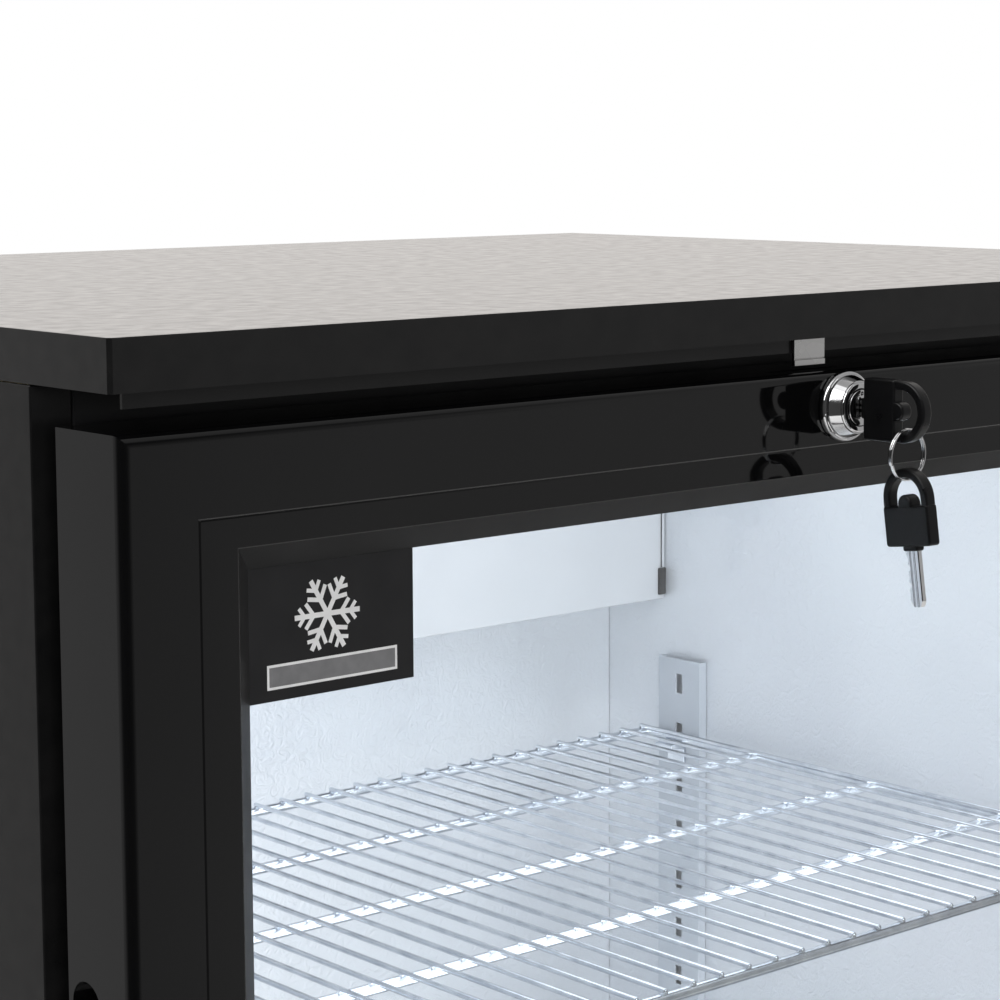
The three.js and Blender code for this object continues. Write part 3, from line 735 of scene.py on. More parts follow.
def makeCase():
    cover = soften("top_cover", ["powderCoat", "panelCoatAndFoldShade"], 0.55)
    for face in cover.data.polygons:
        deep = face.center.y - coverFront
        if 0.004 < deep < 0.012 and face.center.z < 0.8845:  # the folded strip under the lip, given the darker, less shiny coat as painted shade of the recess
            face.material_index = 1
    for node in ("side_panel_left", "side_panel_right"):
        soften(node, ["panelCoatAndFoldShade"], 0.55)
    makeRearGuard()
    for node in ("rear_panel", "base_pan"):
        soften(node, ["galvanised"], 0.4)
    soften("front_frame", ["blackPlastic"], 0.8)
    soften("cord_gland", ["blackPlastic"], 0.5, 2)
    soften("drip_tray", ["blackPlastic"], 0.8)
    paint("insulation", "foam")
    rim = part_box("rear_panel")
    back = (rim[1].y - coverFront) / mm
    seam = [(x, back, z) for x in (-285, 285) for z in (320, 460, 600, 740, 860)]
    seam += [(x, back, 868) for x in (-190, -95, 0, 95, 190)]
    addScrews("rear_screws", seam, facing["back"], "cabinet", "zinc", 0.85)
    guardBack = (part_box("rear_guard")[1].y - coverFront) / mm - 1.6
    corners = [(x, guardBack, z) for x in (-284, 284) for z in (40, 154, 268)]
    addScrews("guard_screws", corners, facing["back"], "cabinet", "zinc", 0.85, 9)


guardSet = {"half": 296, "front": 470.3, "back": 496, "bottom": 27, "top": 282, "sheet": 1.2,
            "slots": 21, "pitch": 25, "slotWide": 8, "slotLow": 77, "slotHigh": 237}


def makeRearGuard():
    g = guardSet
    inset = g["sheet"]
    bm = bmesh.new()
    addBlock(bm, (-g["half"], g["half"]), (g["front"], g["back"]), (g["bottom"], g["top"]))
    shell = linkMesh("rear_guard_pressed", bm)
    bm = bmesh.new()
    addBlock(bm, (-g["half"] + inset, g["half"] - inset), (g["front"] - 5, g["back"] - inset),
             (g["bottom"] + inset, g["top"] - inset))
    cutWith(shell, linkMesh("hollowCut", bm))
    bm = bmesh.new()
    reach = g["slotWide"] / 2
    first = -g["pitch"] * (g["slots"] - 1) / 2
    slot = arc((first, g["slotHigh"] - reach), reach, 0, 180, 8)
    slot += arc((first, g["slotLow"] + reach), reach, 180, 360, 8)
    addPrism(bm, slot, g["back"] - 5, g["back"] + 5, lambda a, b, c: Vector((a, c, b)))
    slots = linkMesh("slotCut", bm)
    runTree(slots, "rows", {
        "Count": g["slots"], "Step": [g["pitch"] * mm, 0, 0], "Rows": 1, "Row Step": [0, 0, 0],
        "Material": finish["powderCoat"],
    })
    cutWith(shell, slots)
    dress(roundEdges(shell, 0.5), "cabinet", ["powderCoat"], ["rear_guard"], 40)


def makeFeet():
    for row in ("front", "rear"):
        for side in ("left", "right"):
            node = f"foot_{row}_{side}"
            low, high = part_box(node)
            centre = ((low.x + high.x) / 2 / mm, ((low.y + high.y) / 2 - coverFront) / mm, 0)
            bm = bmesh.new()
            profile = [(0, 0), (17.6, 0), (18.7, 0.4), (19, 1.2), (19, 3.6), (18.4, 4.4), (15, 7.8),
                       (12.4, 8.7), (9.6, 9.4), (9, 10), (9, 22.6), (8.4, 23.4), (5, 23.5)]
            height = 23.5
            while height < 40:
                profile += [(4.95, height), (4.35, height + 0.75), (4.95, height + 1.5)]
                height += 1.5
            profile += [(4.3, 42), (0, 42)]
            addLathe(bm, profile, centre, "z", 36)
            grips = 18
            for grip in range(grips):
                angle = 2 * math.pi * grip / grips
                spot = Vector((math.cos(angle), math.sin(angle), 0)) * 9
                start = Vector(centre) + spot + Vector((0, 0, 11))
                addTube(bm, [start, start + Vector((0, 0, 11))], 0.7, 6)
            addPiece(node + "_turned", bm, nodes[node]["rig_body"], ["blackPlastic"], [node])


grilleSet = {"front": 22, "banks": ((-100, 75), (95, 270)), "low": 44, "pitch": 12, "slats": 5}
panelSet = {"face": 19.7, "screen": (-247, -215, 54, 78), "keys": (-208, -198, -188, -178), "segment": 5.2}


def sevenSegments(bm, x, z, size, lit, y):
    half, wide = size / 2, size * 0.16
    bars = {
        "top": (0, 2 * size, True), "middle": (0, size, True), "bottom": (0, 0, True),
        "upLeft": (-half, 1.5 * size, False), "upRight": (half, 1.5 * size, False),
        "lowLeft": (-half, half, False), "lowRight": (half, half, False),
    }
    for name in lit:
        across, up, flat = bars[name]
        long, short = half - wide * 0.7, wide / 2
        reach = (long, short) if flat else (short, long)
        midX, midZ = x + across, z + up
        addBlock(bm, (midX - reach[0], midX + reach[0]), (y - 0.1, y), (midZ - reach[1], midZ + reach[1]))


def makeGrille():
    low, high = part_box("front_grille")
    half, bottom, top = rectOf("front_grille")
    front, back = (low.y - coverFront) / mm, (high.y - coverFront) / mm
    bm = bmesh.new()
    addBlock(bm, (-half, half), (front, back), (bottom, top))
    shell = linkMesh("front_grille_moulded", bm)
    openings = [((-half + 1.5, half - 1.5), (front + 1.5, back + 5), (bottom + 1.5, top - 1.5))]
    for x0, x1 in grilleSet["banks"]:
        for slot in range(grilleSet["slats"]):
            middle = grilleSet["low"] + slot * grilleSet["pitch"]
            openings.append(((x0, x1), (front - 1, front + 3), (middle - 3, middle + 3)))
    openings.append(((-250, -170), (front - 1, front + 3), (46, 86)))
    openings.append(((-152, -130), (front - 1, front + 3), (52, 80)))
    for opening in openings:
        bm = bmesh.new()
        addBlock(bm, *opening)
        cutWith(shell, linkMesh("openingCut", bm))
    dress(roundEdges(shell, 0.5), "cabinet", ["blackPlastic"], ["front_grille"], 40)
    for index, (x0, x1) in enumerate(grilleSet["banks"]):
        bm = bmesh.new()
        tilt = Euler((math.radians(-32), 0, 0))
        addBlock(bm, (x0 - 4, x1 + 4), (25, 33), (grilleSet["low"] - 4.6, grilleSet["low"] - 3.4), tilt)
        bmesh.ops.bevel(bm, geom=bm.edges, offset=0.4, segments=2, affect="EDGES")
        repeatPiece(f"grille_slats_{index + 1}", bm, "cabinet", "blackPlastic",
                    grilleSet["slats"], (0, 0, grilleSet["pitch"]))
    soften("control_panel", ["blackPlastic"], 0.5)
    face = panelSet["face"]
    x0, x1, z0, z1 = panelSet["screen"]
    bm = bmesh.new()
    addBlock(bm, (x0, x1), (face - 0.25, face + 0.1), (z0, z1))
    bmesh.ops.bevel(bm, geom=bm.edges, offset=0.12, segments=1, affect="EDGES")
    addPiece("display_window", bm, "cabinet", ["doorGloss"])
    bm = bmesh.new()
    size = panelSet["segment"]
    sevenSegments(bm, -226, 61, size, ("upLeft", "upRight", "middle", "lowRight"), face - 0.25)
    addPiece("display_digit", bm, "cabinet", ["led"])
    for index, x in enumerate(panelSet["keys"]):
        bm = bmesh.new()
        pad = [(x + a, 66 + b) for a, b in arc((0, 0), 3.8, 0, 345, 23)]
        addPrism(bm, pad, face - 0.22, face + 0.1, lambda a, b, c: Vector((a, c, b)))
        addPiece(f"panel_key_{index + 1}", bm, "cabinet", ["whitePlastic"])
    soften("light_switch", ["keyPlastic"], 0.5, 3)
    screws = [(x, grilleSet["front"], z) for x in (-288, 282) for z in (38, 95)]
    addScrews("grille_screws", screws, facing["front"], "cabinet", "blackPlastic", 0.85, 2)


def makeLiner():
    for node in ("liner_left", "liner_right", "liner_floor", "liner_step", "liner_back", "liner_ceiling"):
        paint(node, "stucco")
    for node in [name for name in nodes if name.startswith("pilaster_")]:
        soften(node, ["pilasterCoat"], 0.5)
    for node in [name for name in nodes if name.startswith("clip_")]:
        soften(node, ["wirePlate"], 0.35)


coverSet = {"grilleRings": 9, "spokes": 6, "wire": 0.9}


def makeEvaporator():
    soften("evaporator_cover", ["whiteCoat"], 0.9, 3)
    low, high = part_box("evaporator_fan")
    centreX, centreZ = (low.x + high.x) / 2, (low.z + high.z) / 2
    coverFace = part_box("evaporator_cover")[0].y
    guard = bpy.data.objects.new("evaporator_guard_rings", bpy.data.meshes.new("guard"))
    scene.collection.objects.link(guard)
    runTree(guard, "guardRings", {
        "Rings": coverSet["grilleRings"], "Inner": 0.010, "Outer": 0.071,
        "Wire": coverSet["wire"] * mm, "Material": finish["chrome"],
    })
    upright = Matrix.Rotation(math.radians(90), 4, "X")
    turn = Matrix.Translation((centreX, coverFace - 0.0012, centreZ)) @ upright
    guard.data.transform(turn)
    dress(guard, "cabinet", [])
    bm = bmesh.new()
    x, z = centreX / mm, centreZ / mm
    face = (coverFace - coverFront) / mm
    for spoke in range(coverSet["spokes"]):
        angle = math.pi * 2 * spoke / coverSet["spokes"] + 0.3
        ray = Vector((math.cos(angle), 0, math.sin(angle)))
        hub = Vector((x, face - 2.6, z))
        end = hub + ray * 76
        addTube(bm, bendPath([hub + ray * 9, end, end + Vector((0, 2.2, 0))], 1.5), 1.1, 8)
    addLathe(bm, [(0, face - 3.6), (8, face - 3.6), (9.6, face - 3.1), (10, face - 2.2), (0, face - 2.2)],
             (x, 0, z), "y", 32)
    addPiece("evaporator_guard_spokes", bm, "cabinet", ["chrome"])
    screws = [(-246, face, 726), (-246, face, 838), (246, face, 838), (60, face, 726), (60, face, 838)]
    addScrews("evaporator_screws", screws, facing["front"], "cabinet", "zinc", 0.8, 7)
    bm = bmesh.new()
    addBlock(bm, (254.2, 258.8), (face - 1.6, face + 0.2), (716, 730))
    addBlock(bm, (256.1, 256.9), (face - 0.5, face + 0.1), (730, 800))
    bmesh.ops.bevel(bm, geom=bm.edges, offset=0.3, segments=2, affect="EDGES")
    addPiece("evaporator_cover_clip", bm, "cabinet", ["blackPlastic"])
    makeCoil("evaporator_coil", (1, 243), (370, 395), (735, 833), 3.2, 62, 0.16, 4, "finSheet")
    makeMotor("evaporator_fan_motor", centreX / mm, centreZ / mm, 20, 374, 399, 60)


def makeCoil(node, x, y, z, tube, fins, thick, runs, material):
    # thin fins pierced by one tube that runs to and fro
    bm = bmesh.new()
    step = (x[1] - x[0] - 8) / (fins - 1)
    addBlock(bm, (x[0] + 4, x[0] + 4 + thick), y, z)
    repeatPiece(node + "_fins", bm, "cabinet", material, fins, (step, 0, 0), stands=[node])
    bm = bmesh.new()
    middle = (y[0] + y[1]) / 2
    rise = (z[1] - z[0]) / runs
    path = []
    for run in range(runs):
        height = z[0] + rise * (run + 0.5)
        ends = (x[0] + tube, x[1] - tube) if run % 2 == 0 else (x[1] - tube, x[0] + tube)
        path += [(ends[0], middle, height), (ends[1], middle, height)]
    addTube(bm, bendPath(path, min(rise * 0.45, 9)), tube, 12)
    addPiece(node + "_tube", bm, "cabinet", ["copper"])


def makeMotor(node, x, z, radius, front, back, reach):
    bm = bmesh.new()
    shell = [(0, front), (radius * 0.5, front), (radius * 0.8, front + 1.2), (radius * 0.97, front + 3.6),
             (radius, front + 5), (radius, back - 3), (radius * 0.9, back - 1), (0, back - 0.4)]
    addLathe(bm, shell, (x, 0, z), "y", 40)
    for vent in range(10):
        angle = math.radians(36 * vent)
        ray = Vector((math.cos(angle), 0, math.sin(angle))) * (radius - 0.35)
        start = Vector((x, front + 8, z)) + ray
        addTube(bm, [start, start + Vector((0, back - front - 14, 0))], 0.9, 6)
    if node.startswith("evaporator"):
        addBlock(bm, (x - reach, x + reach), (back - 2.5, back - 0.2), (z - 8, z + 8))
    else:
        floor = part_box(node)[0].z / mm
        addBlock(bm, (x - 4, x + 4), (back - 22, back - 6), (floor, z))
        addBlock(bm, (x - reach, x + reach), (back - 28, back), (floor, floor + 3))
    addPiece(node + "_detailed", bm, "cabinet", ["enamel"], [node])


bladeSet = {"blades": 5, "round": 10, "out": 8, "thick": 1.5}


def makeWheel(node):
    low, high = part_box(node)
    x, z = (low.x + high.x) / 2 / mm, (low.z + high.z) / 2 / mm
    front, back = (low.y - coverFront) / mm, (high.y - coverFront) / mm
    tip = (high.x - low.x) / 2 / mm
    hub, depth = tip * 0.27, back - front
    bm = bmesh.new()
    hubProfile = [(0, front + 0.4), (hub * 0.78, front + 0.4), (hub * 0.94, front + 1.0), (hub, front + 2.4),
                  (hub, back - 0.6), (hub * 0.96, back), (0, back)]
    addLathe(bm, hubProfile, (x, 0, z), "y", 40)
    outward, around = bladeSet["out"], bladeSet["round"]
    for blade in range(bladeSet["blades"]):
        grid = {}
        for layer in (0, 1):
            for i in range(outward + 1):
                part = i / outward
                radius = hub * 0.93 + (tip * 0.985 - hub * 0.93) * part
                spread = math.radians(40 + 16 * math.sin(part * math.pi * 0.75))
                sweep = math.radians(-10 * part)
                for j in range(around + 1):
                    along = j / around - 0.5
                    place = math.radians(72 * blade) + sweep + spread * along
                    camber = 0.16 * depth * (1 - (2 * along) ** 2)
                    slope = (depth - 2.6) * along * (1 - 0.25 * part)
                    edge = 1 - abs(2 * along) ** 6 * 0.7
                    lift = bladeSet["thick"] * edge * (layer - 0.5)
                    y = (front + back) / 2 + slope * 0.94 - camber * 0.5 + lift
                    y = min(max(y, front + 0.05), back - 0.05)
                    point = Vector((x + radius * math.cos(place), y, z + radius * math.sin(place)))
                    grid[layer, i, j] = bm.verts.new(point)
        for i in range(outward):
            for j in range(around):
                bm.faces.new([grid[0, i, j], grid[0, i + 1, j], grid[0, i + 1, j + 1], grid[0, i, j + 1]])
                bm.faces.new([grid[1, i, j + 1], grid[1, i + 1, j + 1], grid[1, i + 1, j], grid[1, i, j]])
        for i in range(outward):
            for j in (0, around):
                bm.faces.new([grid[0, i, j], grid[1, i, j], grid[1, i + 1, j], grid[0, i + 1, j]])
        for j in range(around):
            for i in (0, outward):
                bm.faces.new([grid[0, i, j], grid[0, i, j + 1], grid[1, i, j + 1], grid[1, i, j]])
    addPiece(node + "_bladed", bm, nodes[node]["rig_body"], ["blackPlastic"], [node], 45)


stripSet = {"half": 234, "y": (64.6, 79.4), "z": (838.6, 851.4)}


def makeLedStrip():
    half, (y0, y1), (z0, z1) = stripSet["half"], stripSet["y"], stripSet["z"]
    bm = bmesh.new()
    channel = [(y0, z1), (y0, z0 + 2.6), (y0 + 1.2, z0 + 2.6), (y0 + 1.2, z1 - 1.4), (y1 - 1.2, z1 - 1.4),
               (y1 - 1.2, z0 + 2.6), (y1, z0 + 2.6), (y1, z1)]
    addPrism(bm, channel, -half, half, lambda a, b, c: Vector((c, a, b)))
    addPiece("led_channel", bm, "cabinet", ["whitePlastic"])
    bm = bmesh.new()
    lens = [(y0 + 0.4, z0 + 2.4)]
    for part in (0.12, 0.3, 0.5, 0.7, 0.88):
        lens.append((y0 + (y1 - y0) * part, z0 + 2.4 - 2.2 * math.sin(math.pi * part)))
    lens += [(y1 - 0.4, z0 + 2.4), (y1 - 1.4, z0 + 3.6), (y0 + 1.4, z0 + 3.6)]
    addPrism(bm, lens, -half + 2, half - 2, lambda a, b, c: Vector((c, a, b)))
    addPiece("led_lens", bm, "cabinet", ["led"], ["led_strip"])
    bm = bmesh.new()
    for side in (-1, 1):
        ends = sorted((side * half, side * (half + 1.8)))
        addBlock(bm, ends, (y0, y1), (z0 + 0.4, z1))
    bmesh.ops.bevel(bm, geom=bm.edges, offset=0.5, segments=2, affect="EDGES")
    addPiece("led_ends", bm, "cabinet", ["whitePlastic"])


shelfSet = {"wires": 35, "pitch": 14.5, "wire": 1.1, "bar": 2.25, "bars": 5, "weldLong": 1.7, "weldHigh": 0.9}


def addCapsule(bm, start, end, radius, sides):
    # a straight wire with rounded ends
    start, end = Vector(start), Vector(end)
    along = (end - start).normalized()
    cap = [(radius * math.cos(math.pi * k / 6), radius * math.sin(math.pi * k / 6)) for k in range(4)]
    profile = [(r, -h) for r, h in reversed(cap)]
    profile += [(r, (end - start).length + h) for r, h in cap]
    fresh = bmesh.new()
    addLathe(fresh, profile, steps=sides)
    turn = Matrix.Translation(start) @ along.to_track_quat("Z", "Y").to_matrix().to_4x4()
    bmesh.ops.transform(fresh, matrix=turn, verts=fresh.verts)
    mesh = bpy.data.meshes.new("capsule")
    fresh.to_mesh(mesh)
    fresh.free()
    bm.from_mesh(mesh)
    bpy.data.meshes.remove(mesh)


def makeShelf(node):
    low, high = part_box(node)
    half = high.x / mm
    front, back = (low.y - coverFront) / mm, (high.y - coverFront) / mm
    top = high.z / mm
    wire, bar = shelfSet["wire"], shelfSet["bar"]
    body = nodes[node]["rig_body"]
    first = -shelfSet["pitch"] * (shelfSet["wires"] - 1) / 2
    bm = bmesh.new()
    addCapsule(bm, (first, front + 1.6, top - wire), (first, back - 1.6, top - wire), wire, 12)
    repeatPiece(node + "_wires", bm, body, "wirePlate", shelfSet["wires"],
                (shelfSet["pitch"], 0, 0), stands=[node])
    barStep = (back - front - 2 * bar) / (shelfSet["bars"] - 1)
    seat = top - 2 * wire + 0.2 - bar
    bm = bmesh.new()
    addCapsule(bm, (-half + bar, front + bar, seat), (half - bar, front + bar, seat), bar, 16)
    repeatPiece(node + "_bars", bm, body, "wirePlate", shelfSet["bars"], (0, barStep, 0))
    bm = bmesh.new()
    for side in (-1, 1):
        x = side * (half - bar)
        addCapsule(bm, (x, front + bar, seat), (x, back - bar, seat), bar - 0.05, 16)
    addPiece(node + "_sides", bm, body, ["wirePlate"])
    bm = bmesh.new()
    weld = [(0, -1), (0.7, -0.72), (1, 0), (0.7, 0.72), (0, 1)]
    addLathe(bm, weld, steps=8)
    bmesh.ops.scale(bm, vec=(shelfSet["weldLong"], 1.5, shelfSet["weldHigh"]), verts=bm.verts)
    bmesh.ops.translate(bm, vec=(first, front + bar, seat + bar - 0.1), verts=bm.verts)
    repeatPiece(node + "_welds", bm, body, "wirePlate", shelfSet["wires"],
                (shelfSet["pitch"], 0, 0), shelfSet["bars"], (0, barStep, 0))


canSet = {"x": 120, "y": 362}


def makeCompressor():
    x, y = canSet["x"], canSet["y"]
    bm = bmesh.new()
    can = [(0, 44), (40, 44.6), (54, 47), (63, 52.5), (68, 60), (70, 72), (70, 106.5), (71, 108),
           (73.6, 108.4), (74, 109.6), (74, 114.4), (73.6, 115.6), (71, 116), (70, 117.5), (69.4, 140),
           (67, 160), (61, 176), (50, 188.5), (34, 197), (17, 201.6), (0, 203)]
    addLathe(bm, can, (x, y, 0), "z", 64)
    for px, py in ((x - 76, y - 50), (x + 76, y - 50), (x - 76, y + 50), (x + 76, y + 50)):
        grommet = [(0, 27), (11, 27), (11, 32), (8.5, 33.5), (8.5, 36), (11, 37.5), (11, 42), (4, 42),
                   (4, 47), (0, 47)]
        addLathe(bm, grommet, (px + (4 if px < x else -4), py, 0), "z", 24)
    addPiece("compressor_can", bm, "cabinet", ["enamel"], ["compressor"])
    bm = bmesh.new()
    addBlock(bm, (24, 216), (300, 424), (37.5, 40.5))
    addBlock(bm, (100, 140), (345, 380), (38, 50))
    addBlock(bm, (184, 214), (340, 384), (84, 140))
    bmesh.ops.bevel(bm, geom=bm.edges, offset=1.4, segments=3, affect="EDGES")
    addPiece("compressor_mount", bm, "cabinet", ["enamel"])
    bm = bmesh.new()
    discharge = [(60, 330, 120), (22, 310, 120), (-20, 304, 120), (-20, 304, 215), (-66, 304, 215)]
    addTube(bm, bendPath(discharge, 9), 2.4, 12)
    addTube(bm, bendPath([(150, 425, 90), (150, 444, 90), (150, 444, 228), (150, 444, 234)], 2), 3.2, 12)
    addTube(bm, bendPath([(100, 296, 160), (100, 284, 176), (60, 284, 226), (20, 284, 232)], 8), 3.2, 12)
    addPiece("compressor_pipes", bm, "cabinet", ["copper"])


def makeCoolingUnit():
    makeCompressor()
    makeCoil("condenser", (-261, -69), (287, 321), (28, 237), 4.2, 40, 0.3, 6, "enamel")
    bm = bmesh.new()
    for x in (-261.5, -70.5):
        addBlock(bm, (x, x + 1.5), (286.5, 321.5), (27, 238))
    bmesh.ops.bevel(bm, geom=bm.edges, offset=0.3, segments=1, affect="EDGES")
    addPiece("condenser_ends", bm, "cabinet", ["enamel"])
    low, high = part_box("condenser_fan")
    makeMotor("condenser_fan_motor", (low.x + high.x) / 2 / mm, (low.z + high.z) / 2 / mm, 28, 364, 402, 30)


doorSet = {"front": -0.6, "back": 34, "round": 3.6, "step": 25.5, "inner": -0.4, "bevel": 8, "glassFace": 6.7,
           "pocket": 12.3, "pocketBack": 27.3, "grip": (271, 711, 16, 31), "gripDeep": 11}
viewSet = {"half": 250, "bottom": 159, "top": 829}
lockSet = {"z": 860, "hole": 9.6}


def makeDoorFrame():
    s = doorSet
    outer = lambda by: rectOf("door_frame", by)
    inner = lambda by: (viewSet["half"] + by, viewSet["bottom"] - by, viewSet["top"] + by)
    rows = [(outer(0), s["back"] - 0.8), (outer(0), s["front"] + s["round"])]
    for a, b in arc((s["round"], s["round"]), s["round"], 180, 270, 8)[1:]:
        rows.append((outer(a), s["front"] + b))
    rows += [(outer(s["step"]), s["front"]), (outer(s["step"] + 0.15), s["front"] + 0.03),
             (outer(s["step"] + 0.6), s["front"] + 0.36), (outer(s["step"] + 1.05), s["inner"] + 0.03),
             (outer(s["step"] + 1.2), s["inner"]), (inner(s["bevel"] + 0.35), s["inner"]),
             (inner(s["bevel"] - 0.1), s["inner"] + 0.15), (inner(0.35), s["glassFace"] - 0.5),
             (inner(0), s["glassFace"] - 0.1), (inner(0), s["glassFace"]),
             (inner(s["pocket"]), s["glassFace"]), (inner(s["pocket"]), s["pocketBack"]),
             (inner(0), s["pocketBack"]),
             (inner(0), s["back"] - 0.6), (inner(0.6), s["back"]), (outer(0.8), s["back"])]
    slope = rows.index((inner(s["bevel"] - 0.1), s["inner"] + 0.15))
    bm = bmesh.new()
    addFrameLoop(bm, rows, (slope, slope + 1))
    frameObj = linkMesh("door_frame_moulded", bm)
    for name in ("doorGloss", "frameSatin"):
        frameObj.data.materials.append(finish[name])

    bottom, top, near, far = s["grip"]
    reach = (far - near) / 2
    mid = (near + far) / 2
    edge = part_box("door_frame")[0].x / mm
    bm = bmesh.new()
    slot = arc((mid, top - reach), reach, 0, 180, 12) + arc((mid, bottom + reach), reach, 180, 360, 12)
    addPrism(bm, slot, edge - 1, edge + s["gripDeep"], lambda a, b, c: Vector((c, a, b)))
    cutWith(frameObj, linkMesh("gripCut", bm))
    bm = bmesh.new()
    bore = lockSet["hole"]
    addLathe(bm, [(0, -3), (bore, -3), (bore, 9.8), (0, 9.8)], (0, 0, lockSet["z"]), "y", 64)
    cutWith(frameObj, linkMesh("lockCut", bm))
    bm = bmesh.new()
    addBlock(bm, (-25.5, 8), (9.4, 12.6), (844.5, 880))
    cutWith(frameObj, linkMesh("camCut", bm))
    for low, high in ((858.5, 880), (100, 126)):
        bm = bmesh.new()
        addLathe(bm, [(0, low), (4.15, low), (4.15, high), (0, high)], (285, 15, 0), "z", 32)
        cutWith(frameObj, linkMesh("hingeCut", bm))
    dress(frameObj, "door", [], ["door_frame"], 24)


def makeGlazing():
    paint("outer_glass", "glass")
    paint("inner_glass", "glass")
    paint("glass_spacer", "spacer")


gasketSet = {
    "lips": ((0, 42.5), (0, 41.2), (0.9, 40.6), (2.6, 39.6), (3.0, 38.9), (1.2, 37.9), (1.0, 37.2),
             (2.8, 36.2), (3.0, 35.4), (1.8, 34.3)),
    "inside": ((12.2, 34.3), (11.0, 35.4), (11.2, 36.2), (13.0, 37.2), (12.8, 37.9), (11.0, 38.9),
               (11.4, 39.6), (13.1, 40.6), (14, 41.2), (14, 42.5)),
}


def makeGasket():
    bm = bmesh.new()
    rows = [(rectOf("door_gasket", by), y) for by, y in gasketSet["lips"] + gasketSet["inside"]]
    addFrameLoop(bm, rows)
    addPiece("door_gasket_bellows", bm, "door", ["gasketRubber"], ["door_gasket"], 50)


def makeHinges():
    soften("hinge_bracket_top", ["zinc"], 0.5)
    soften("hinge_bracket_bottom", ["zinc"], 0.5)
    front = 40.4
    places = [(276, front, 96), (290, front, 96)]
    addScrews("hinge_screws", places, facing["front"], "cabinet", "zinc", 0.9, 3)


labelSet = {"x": (-249.95, -188), "z": (788.5, 828.95), "y": (6.80, 6.96), "flake": (-221, 812.5, 12.2),
            "plate": (-243.5, -194.5, 792, 799.5)}


def makeLabel():
    # plain film with a frost mark and an unlettered plate
    y0, y1 = labelSet["y"]
    bm = bmesh.new()
    addBlock(bm, labelSet["x"], (y0, y1), labelSet["z"])
    addPiece("glass_label", bm, "door", ["labelFilm"])
    x, z, size = labelSet["flake"]
    bm = bmesh.new()
    for arm in range(6):
        turn = math.radians(60 * arm)
        for start, end, lean, wide in ((0, 1, 0, 0.13), (0.42, 0.4, 52, 0.11), (0.42, 0.4, -52, 0.11),
                                       (0.7, 0.28, 52, 0.1), (0.7, 0.28, -52, 0.1)):
            angle = turn + math.radians(lean)
            root = Vector((math.cos(turn), 0, math.sin(turn))) * start * size
            ray = Vector((math.cos(angle), 0, math.sin(angle)))
            layer = y0 - 0.03 - 0.004 * len(bm.verts) / 8  # crossing bars lie one over another
            middle = Vector((x, layer, z)) + root + ray * end * size / 2
            long, half = end * size / 2, wide * size / 2
            addBlock(bm, (middle.x - long, middle.x + long), (middle.y - 0.03, middle.y + 0.03),
                     (middle.z - half, middle.z + half), Euler((0, -angle, 0)))
    addPiece("label_flake", bm, "door", ["labelWhite"])
    px0, px1, pz0, pz1 = labelSet["plate"]
    bm = bmesh.new()
    half, mid, lift = (px1 - px0) / 2, (px0 + px1) / 2, 0.8
    for low, high in ((pz0, pz0 + lift), (pz1 - lift, pz1)):
        addBlock(bm, (px0, px1), (y0 - 0.06, y0), (low, high))
    for low, high in ((px0, px0 + lift), (px1 - lift, px1)):
        addBlock(bm, (low, high), (y0 - 0.06, y0), (pz0 + lift, pz1 - lift))
    addPiece("label_border", bm, "door", ["labelWhite"])
    bm = bmesh.new()
    addBlock(bm, (mid - half + lift, mid + half - lift), (y0 - 0.05, y0), (pz0 + lift, pz1 - lift))
    addPiece("label_plate", bm, "door", ["labelGrey"])


plugSet = {"front": -9.5, "back": 9.4, "radius": 6.3, "slot": (1.3, 3.3)}


def makeLock():
    f = -0.9  # the housing's flange rests on the door face
    bm = bmesh.new()
    profile = [(6.6, 9.3), (6.6, f - 7.6), (6.75, f - 7.95), (7.1, f - 8.0), (8.2, f - 8.0), (8.5, f - 7.75),
               (8.55, f - 7.2), (8.75, f - 6.95), (9.0, f - 7.05), (9.3, f - 7.0), (11.0, f - 3.2),
               (11.15, f - 2.75), (11.2, f - 2.2), (11.4, f - 2.05), (11.7, f - 2.3), (12.15, f - 2.15),
               (12.45, f - 1.6), (12.5, f - 1.1),
               (12.5, f - 0.15), (12.35, f), (9.3, f), (9.3, 9.3)]
    addLathe(bm, profile, (0, 0, lockSet["z"]), "y", 96)
    addPiece("lock_housing_turned", bm, "door", ["chrome"], ["lock_housing"], 40)

    front, back, radius = plugSet["front"], plugSet["back"], plugSet["radius"]
    bm = bmesh.new()
    profile = [(0, front + 0.35), (4.2, front + 0.3), (4.5, front + 0.05), (5.9, front), (6.2, front + 0.15),
               (radius, front + 0.5), (radius, back - 0.3), (radius - 0.3, back), (0, back)]
    addLathe(bm, profile, (0, 0, lockSet["z"]), "y", 72)
    plug = linkMesh("lock_cylinder_turned", bm)
    thick, half = plugSet["slot"]
    bm = bmesh.new()
    addBlock(bm, (-thick, thick), (front - 1, 9.1), (lockSet["z"] - half, lockSet["z"] + half))
    cutWith(plug, linkMesh("keywayCut", bm))
    bm = bmesh.new()
    pin = [(0, front - 1), (0.75, front - 1), (0.75, front + 1.2), (0, front + 1.2)]
    addLathe(bm, pin, (0, 0, lockSet["z"] + 4.9), "y", 20)
    cutWith(plug, linkMesh("pinCut", bm))
    dress(plug, nodes["lock_cylinder"]["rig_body"], ["chrome"], ["lock_cylinder"], 40)
    soften("lock_cam", ["zinc"], 0.3)


bowSet = {"half": 10.8, "hole": 7.6, "length": 27, "thick": 5.2, "arch": 4.5, "body": 14.0, "boss": 3.3}
bladeShape = {
    "half": 3.0, "length": 21,
    "cuts": ((4.5, 0.7), (7.5, 1.3), (10.5, 0.5), (13.5, 1.1), (16.5, 0.3)),  # place and depth
}


